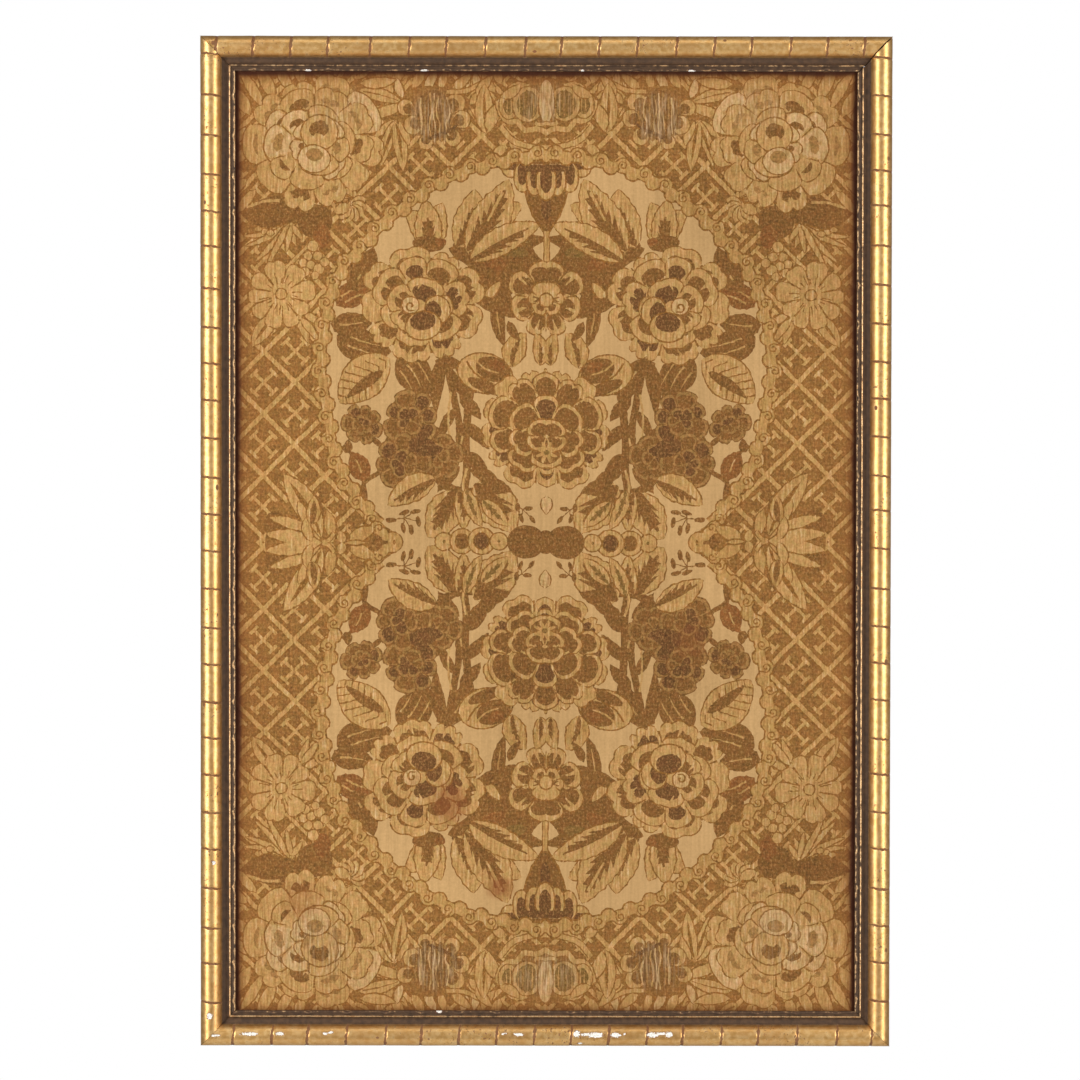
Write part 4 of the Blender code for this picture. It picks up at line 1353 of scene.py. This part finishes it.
def rail_piece(name, length, joints, mitres, place, chips, flipped, material, seed, lines, shaded=False, bold=1.0):
    """One rail, swept along Z from its foot and mitred, then put in its place. Lengths in mm until then.

    mitres: for the foot and the head, how far short of the diagonal the cut stops at the front and at the back.
    """
    rng = random.Random(seed)
    cuts = sorted(joints)
    stations = set()
    for z in cuts:
        for d in (0.0, 0.35, 0.75, 1.2, 1.8, 2.7, 4.0):
            stations.update((z - d, z + d))
    z = -2.0
    while z < length + 2.0:
        stations.add(z)
        z += 2.4
    for cz, _, cl, *_ in chips:
        at = length - cz if flipped else cz
        stations.update(at + k * 1.1 for k in range(-int(cl / 1.6), int(cl / 1.6) + 1))
    ordered = [-2.0]
    for z in sorted(stations):
        if z - ordered[-1] > 0.22 and z < length + 2.0:
            ordered.append(z)
    ordered.append(length + 2.0)
    shift = {z: (rng.uniform(-0.5, 0.5), rng.uniform(0.75, 1.15)) for z in cuts}
    rows, masks = [], []
    for z in ordered:
        gap = min(cuts, key=lambda c: abs(c - z))
        d = abs(z - gap)
        near = (math.exp(-((d / (0.72 * bold)) ** 2)) * shift[gap][1], math.exp(-((d / 2.6) ** 2)))
        wob = math.exp(-((d / 3.0) ** 2))
        before = max([c for c in cuts if c <= z], default=0.0)
        after = min([c for c in cuts if c > z], default=length)
        t = (z - before) / max(1e-6, after - before)
        lean = abs(2 * t - 1) ** 2.2 if cuts[0] < z < cuts[-1] else 0.5
        ring = section(near, lean, wob, lines, shaded)
        row = []
        for u, y, gilt, dark, raw in ring:
            wander = 0.10 * noise.noise(Vector((z * 0.03, u * 0.2, seed)))
            chip = bole = 0.0
            dy = 0.0
            if y > 7.5:
                for cz, cu, cl, cw, deep, kind in chips:
                    at = length - cz if flipped else cz
                    far = math.hypot((z - at) / (cl / 2), (u - cu) / (cw / 2))
                    here = max(0.0, 1.35 - far)
                    if kind == "gesso":
                        chip = max(chip, min(1.0, here))
                    else:
                        bole = max(bole, min(1.0, here))
                    dy -= deep * min(1.0, max(0.0, 1.25 - far))
            uneven = noise.noise(Vector((u * 0.33, gap * 0.37, seed * 1.7)))
            wear = (1.25 + 0.5 * uneven) * math.exp(-((d / (bold * (0.74 + 0.45 * uneven))) ** 2)) + 0.26 * math.exp(-((d / 2.4) ** 2))
            wear = min(1.0, wear) * (gilt > 0.4) * (1.0 if u < 15.5 else 0.75 if u < 20 else 0.5)
            skew = 0.0
            if u < 20:
                waver = noise.noise(Vector((u * 0.45, gap * 0.61, seed + 4.0)))
                skew = math.exp(-((d / 3.2) ** 2)) * (SLANT * (u - ROD_U) / 9.8 + 0.75 * waver + 0.3 * shift[gap][0])
            row.append((u + wander * (3 < y), -(y + dy), z + skew))
            masks.append((gilt, dark, raw, chip, max(wear, bole)))
        rows.append(row)
    around = len(rows[0])
    verts = [tuple(c * MM for c in p) for row in rows for p in row]
    faces = []
    for i in range(len(rows) - 1):
        for j in range(around):
            k = (j + 1) % around
            a, b = i * around + j, i * around + k
            faces.append((a, b, b + around, a + around))
    mesh = bpy.data.meshes.new(name)
    mesh.from_pydata(verts, [], faces)
    masks = np.array(masks, np.float32)
    layer = mesh.attributes.new("finish", "FLOAT_COLOR", "POINT")
    layer.data.foreach_set("color", masks[:, :4].ravel())
    layer = mesh.attributes.new("wear", "FLOAT", "POINT")
    layer.data.foreach_set("value", masks[:, 4].copy())
    # lay out round the section and along the length, in four rows
    flat = np.zeros((len(mesh.loops), 2), np.float32)
    lane = length * MM / 4
    for p, poly in enumerate(mesh.polygons):
        i, j = divmod(p, around)
        zs = [verts[v][2] for v in poly.vertices]
        middle = min(3, max(0, int(sum(zs) / len(zs) / lane)))
        for q, v in zip(range(poly.loop_start, poly.loop_start + poly.loop_total), poly.vertices):
            share = (v % around) / around
            if j == around - 1 and v % around == 0:
                share = 1.0
            flat[q] = (
                0.02 + 0.96 * (verts[v][2] - middle * lane) / lane,
                0.004 + middle * 0.24 + 0.232 * share,
            )
    uv = mesh.uv_layers.new(name="OFBake")
    uv.data.foreach_set("uv", flat.ravel())
    bm = bmesh.new()
    bm.from_mesh(mesh)
    for z, slope, (front, back) in ((0.0, 1, mitres[0]), (length * MM, -1, mitres[1])):
        plane = Vector((0, 0, z + slope * back * MM * math.sqrt(2)))
        normal = Vector((math.sqrt(0.5), -(front - back) / DEEP, -slope * math.sqrt(0.5))).normalized()
        cut = bmesh.ops.bisect_plane(
            bm, geom=bm.verts[:] + bm.edges[:] + bm.faces[:], plane_co=plane, plane_no=normal, clear_outer=True,
        )
        rim = [e for e in cut["geom_cut"] if isinstance(e, bmesh.types.BMEdge)]
        caps = bmesh.ops.edgenet_fill(bm, edges=rim)["faces"]
        lay = bm.loops.layers.uv.active
        for cap in caps:
            for loop in cap.loops:
                c = loop.vert.co
                loop[lay].uv = (0.05 + (0.5 if slope < 0 else 0) + c.x * 10, 0.972 + -c.y * 1.2)
    bmesh.ops.recalc_face_normals(bm, faces=bm.faces)
    bm.to_mesh(mesh)
    bm.free()
    for poly in mesh.polygons:
        poly.use_smooth = True
    mesh.set_sharp_from_angle(angle=math.radians(50))
    mesh.transform(place)
    mesh.materials.append(material)
    piece = bpy.data.objects.new(name, mesh)
    scene.collection.objects.link(piece)
    print(name, len(mesh.polygons), "faces")
    return piece


def gilding():
    net = Net("gilt_wood")
    shader = net.shader
    finish = net.attribute("finish")
    split = net.node("ShaderNodeSeparateColor")
    net.link(finish.outputs["Color"], split.inputs[0])
    gilt, dark, raw = split.outputs[0], split.outputs[1], split.outputs[2]
    chip = finish.outputs["Alpha"]
    wear = net.attribute("wear").outputs["Fac"]
    fine = net.noise(900.0, 3.0, 0.6)
    mid = net.noise(210.0, 4.0, 0.62, None, 4.0)
    broad = net.noise(28.0, 3.0, 0.55, None, 8.0)
    # gold leaf, a little uneven in tone and rubbed; thin and pale on the narrow edges
    leaf_tone = net.mix(net.ramp(mid, 0.35, 0.70), srgb(210, 162, 96), srgb(230, 192, 132))
    leaf_tone = net.mix(net.math("MULTIPLY", net.ramp(broad, 0.35, 0.70), 0.40), leaf_tone, srgb(196, 142, 84))
    thin = net.math("SUBTRACT", 1.0, net.ramp(gilt, 0.68, 0.95))
    leaf_tone = net.mix(net.math("MULTIPLY", thin, 0.8), leaf_tone, net.mix(net.ramp(fine, 0.4, 0.62), srgb(176, 132, 92), srgb(224, 192, 146)))
    bole = net.mix(net.ramp(fine, 0.3, 0.7), srgb(70, 36, 22), srgb(116, 62, 38))
    brown = net.mix(net.ramp(mid, 0.3, 0.7), srgb(66, 49, 36), srgb(88, 65, 46))
    wood = net.mix(net.ramp(net.noise(1.0, 4.0, 0.6, net.scaled(60, 60, 60), 6.0), 0.3, 0.7), srgb(150, 112, 70), srgb(176, 140, 96))
    gesso = net.mix(net.ramp(fine, 0.35, 0.65), srgb(206, 200, 188), srgb(238, 234, 226))
    rub = net.ramp(net.math("ADD", net.math("MULTIPLY", mid, 0.75), net.math("MULTIPLY", fine, 0.35)), 0.62, 0.74)
    worn = net.ramp(net.math("ADD", net.math("MULTIPLY", wear, 1.0), net.math("MULTIPLY", net.math("SUBTRACT", mid, 0.5), 0.9)), 0.42, 0.66)
    crest = net.ramp(net.math("ADD", gilt, net.math("MULTIPLY", net.math("SUBTRACT", mid, 0.5), 0.9)), 0.42, 0.62)
    colour = net.mix(crest, brown, leaf_tone)
    colour = net.mix(net.math("MULTIPLY", net.math("MULTIPLY", rub, crest), 0.28), colour, bole)
    bare = net.math("MULTIPLY", worn, net.ramp(gilt, 0.2, 0.5))
    # pits through to the bole, in clusters
    pits = net.math("MULTIPLY", net.ramp(net.noise(420.0, 2.0, 0.55, None, 15.0), 0.61, 0.66), net.ramp(net.noise(24.0, 2.0, 0.5, None, 18.0), 0.48, 0.62))
    bare = net.math("MAXIMUM", bare, net.math("MULTIPLY", pits, crest))
    colour = net.mix(net.math("MULTIPLY", bare, 0.85), colour, bole)
    colour = net.mix(net.ramp(raw, 0.3, 0.7), colour, wood)
    ragged = net.math("ADD", net.math("MULTIPLY", net.math("SUBTRACT", mid, 0.5), 0.8), net.math("MULTIPLY", net.math("SUBTRACT", fine, 0.5), 1.5))
    ragged = net.math("ADD", chip, net.math("MULTIPLY", ragged, net.ramp(chip, 0.0, 0.3)))
    open_chip = net.ramp(ragged, 0.52, 0.60)
    ring = net.ramp(ragged, 0.34, 0.44)
    colour = net.mix(net.math("MULTIPLY", ring, 0.8), colour, bole)
    colour = net.mix(open_chip, colour, gesso)
    net.link(colour, shader.inputs["Base Color"])
    metal = net.math("MULTIPLY", crest, net.math("SUBTRACT", 1.0, net.math("MAXIMUM", bare, ring)))
    metal = net.math("MULTIPLY", metal, net.math("SUBTRACT", 1.0, net.ramp(raw, 0.3, 0.7)))
    net.link(net.math("MULTIPLY", metal, net.math("SUBTRACT", 0.90, net.math("MULTIPLY", thin, 0.12))), shader.inputs["Metallic"])
    rough = net.math("ADD", 0.33, net.math("MULTIPLY", mid, 0.18))
    rough = net.math("ADD", rough, net.math("MULTIPLY", net.math("SUBTRACT", 1.0, metal), 0.26))
    net.link(rough, shader.inputs["Roughness"])
    shader.inputs["Specular IOR Level"].default_value = 0.25
    height = net.math("ADD", net.math("MULTIPLY", fine, 0.35), net.math("MULTIPLY", mid, 0.65))
    height = net.math("SUBTRACT", height, net.math("MULTIPLY", open_chip, 1.2))
    normal = net.bump(broad, 0.0010, 0.35)
    normal = net.bump(height, 0.00012, 0.75, normal)
    net.link(normal, shader.inputs["Normal"])
    return net.material


def turn(axis, degrees):
    return Matrix.Rotation(math.radians(degrees), 4, axis)


gilt = gilding()
# the solids' mitre gaps stop 0.1 to 0.3 mm short of the corners, so the full size is a little more
FULL_W, FULL_H = 0.621, 0.908
left_x, right_x = MID_X - FULL_W / 2, MID_X + FULL_W / 2
foot_z, head_z = MID_Z - FULL_H / 2, MID_Z + FULL_H / 2
W, H = FULL_W / MM, FULL_H / MM
# each mitre leans a little, so that no light comes through it, and the one at the top right has opened in front
SHUT, SHUT_OVER = (0.16, 0.90), (0.16, -0.58)
OPEN, OPEN_OVER = (0.64, 1.75), (0.64, -1.45)
# the pair after each seed is the gilding on the lip and the bead: rubbing, and on the top and bottom rails painted
# shade where they turn from the lamps
rails = [
    rail_piece("gilt_rail_left", H, [H - j for j in JOINTS_LEFT], (SHUT, SHUT),
               Matrix.Translation((left_x, 0, foot_z)), CHIPS["rail_left"], True, gilt, 11, (0.95, 1.0)),
    rail_piece("gilt_rail_right", H, JOINTS_RIGHT, (OPEN, SHUT),
               Matrix.Translation((right_x, 0, head_z)) @ turn("Y", 180), CHIPS["rail_right"], False, gilt, 12, (0.85, 0.95)),
    rail_piece("gilt_rail_top", W, JOINTS_TOP, (SHUT_OVER, OPEN_OVER),
               Matrix.Translation((left_x, 0, head_z)) @ turn("Y", 90), CHIPS["rail_top"], False, gilt, 13, (0.72, 0.74), bold=1.35),
    # True: the bottom rail's underside edge is painted dark as shade
    rail_piece("gilt_rail_bottom", W, [W - j for j in JOINTS_BOTTOM], (SHUT_OVER, SHUT_OVER),
               Matrix.Translation((right_x, 0, foot_z)) @ turn("Y", -90), CHIPS["rail_bottom"], True, gilt, 14, (0.66, 0.97), True, 1.35),
]
for piece in rails:
    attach(piece, "root")
    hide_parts(piece.name.replace("gilt_", ""))

brocade = cloth_piece()
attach(brocade, "root")
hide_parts("cloth")

# ---- studio -------------------------------------------------------------------------
scene.view_settings.view_transform = "Standard"
scene.view_settings.look = "None"

bpy.ops.mesh.primitive_plane_add(size=3.4, location=(0, 0.1, MID_Z - 1.5))
floor = bpy.context.object
floor.name = "floor"
paint = bpy.data.materials.new("floor_paint")
paint.use_nodes = True
paint.node_tree.nodes["Principled BSDF"].inputs["Base Color"].default_value = (0.86, 0.86, 0.85, 1)
paint.node_tree.nodes["Principled BSDF"].inputs["Roughness"].default_value = 0.8
floor.data.materials.append(paint)

world = bpy.data.worlds.new("studio")
scene.world = world
world.use_nodes = True
tree = world.node_tree
tree.nodes.clear()
seen = tree.nodes.new("ShaderNodeBackground")
seen.inputs["Color"].default_value = (1, 1, 1, 1)
seen.inputs["Strength"].default_value = 1.0
around = tree.nodes.new("ShaderNodeBackground")
around.inputs["Color"].default_value = (1.0, 0.985, 0.96, 1)
around.inputs["Strength"].default_value = 0.235
path = tree.nodes.new("ShaderNodeLightPath")
blend = tree.nodes.new("ShaderNodeMixShader")
out = tree.nodes.new("ShaderNodeOutputWorld")
tree.links.new(path.outputs["Is Camera Ray"], blend.inputs[0])
tree.links.new(around.outputs[0], blend.inputs[1])
tree.links.new(seen.outputs[0], blend.inputs[2])
tree.links.new(blend.outputs[0], out.inputs[0])


def lamp(name, place, aim, size, power, colour=(1, 1, 1)):
    data = bpy.data.lights.new(name, "AREA")
    data.shape = "RECTANGLE"
    data.size, data.size_y = size
    data.energy = power
    data.color = colour
    made = bpy.data.objects.new(name, data)
    made.location = place
    made.rotation_euler = (Vector(aim) - Vector(place)).to_track_quat("-Z", "Y").to_euler()
    scene.collection.objects.link(made)
    return made


centre = Vector((MID_X, -0.01, MID_Z))
lamp("box_left", centre + Vector((-1.55, -1.45, 0.1)), centre, (0.60, 1.9), 41)
lamp("box_right", centre + Vector((1.55, -1.45, 0.1)), centre, (0.60, 1.9), 37)
lamp("top_fill", centre + Vector((0.0, -1.25, 2.1)), centre, (1.6, 0.9), 9)

DISTANCE = 2.687
TILT = math.radians(1.0)
camera = bpy.data.objects.new("camera", bpy.data.cameras.new("camera"))
camera.data.lens = 100
camera.data.sensor_width = 36
aim = Vector((MID_X - 0.0052, -0.020, MID_Z + 0.0023))
camera.location = aim + Vector((0, -DISTANCE * math.cos(TILT), DISTANCE * math.sin(TILT)))
camera.rotation_euler = (math.pi / 2 - TILT, math.radians(-0.08), 0)
camera.data.clip_end = 50
scene.collection.objects.link(camera)
scene.camera = camera
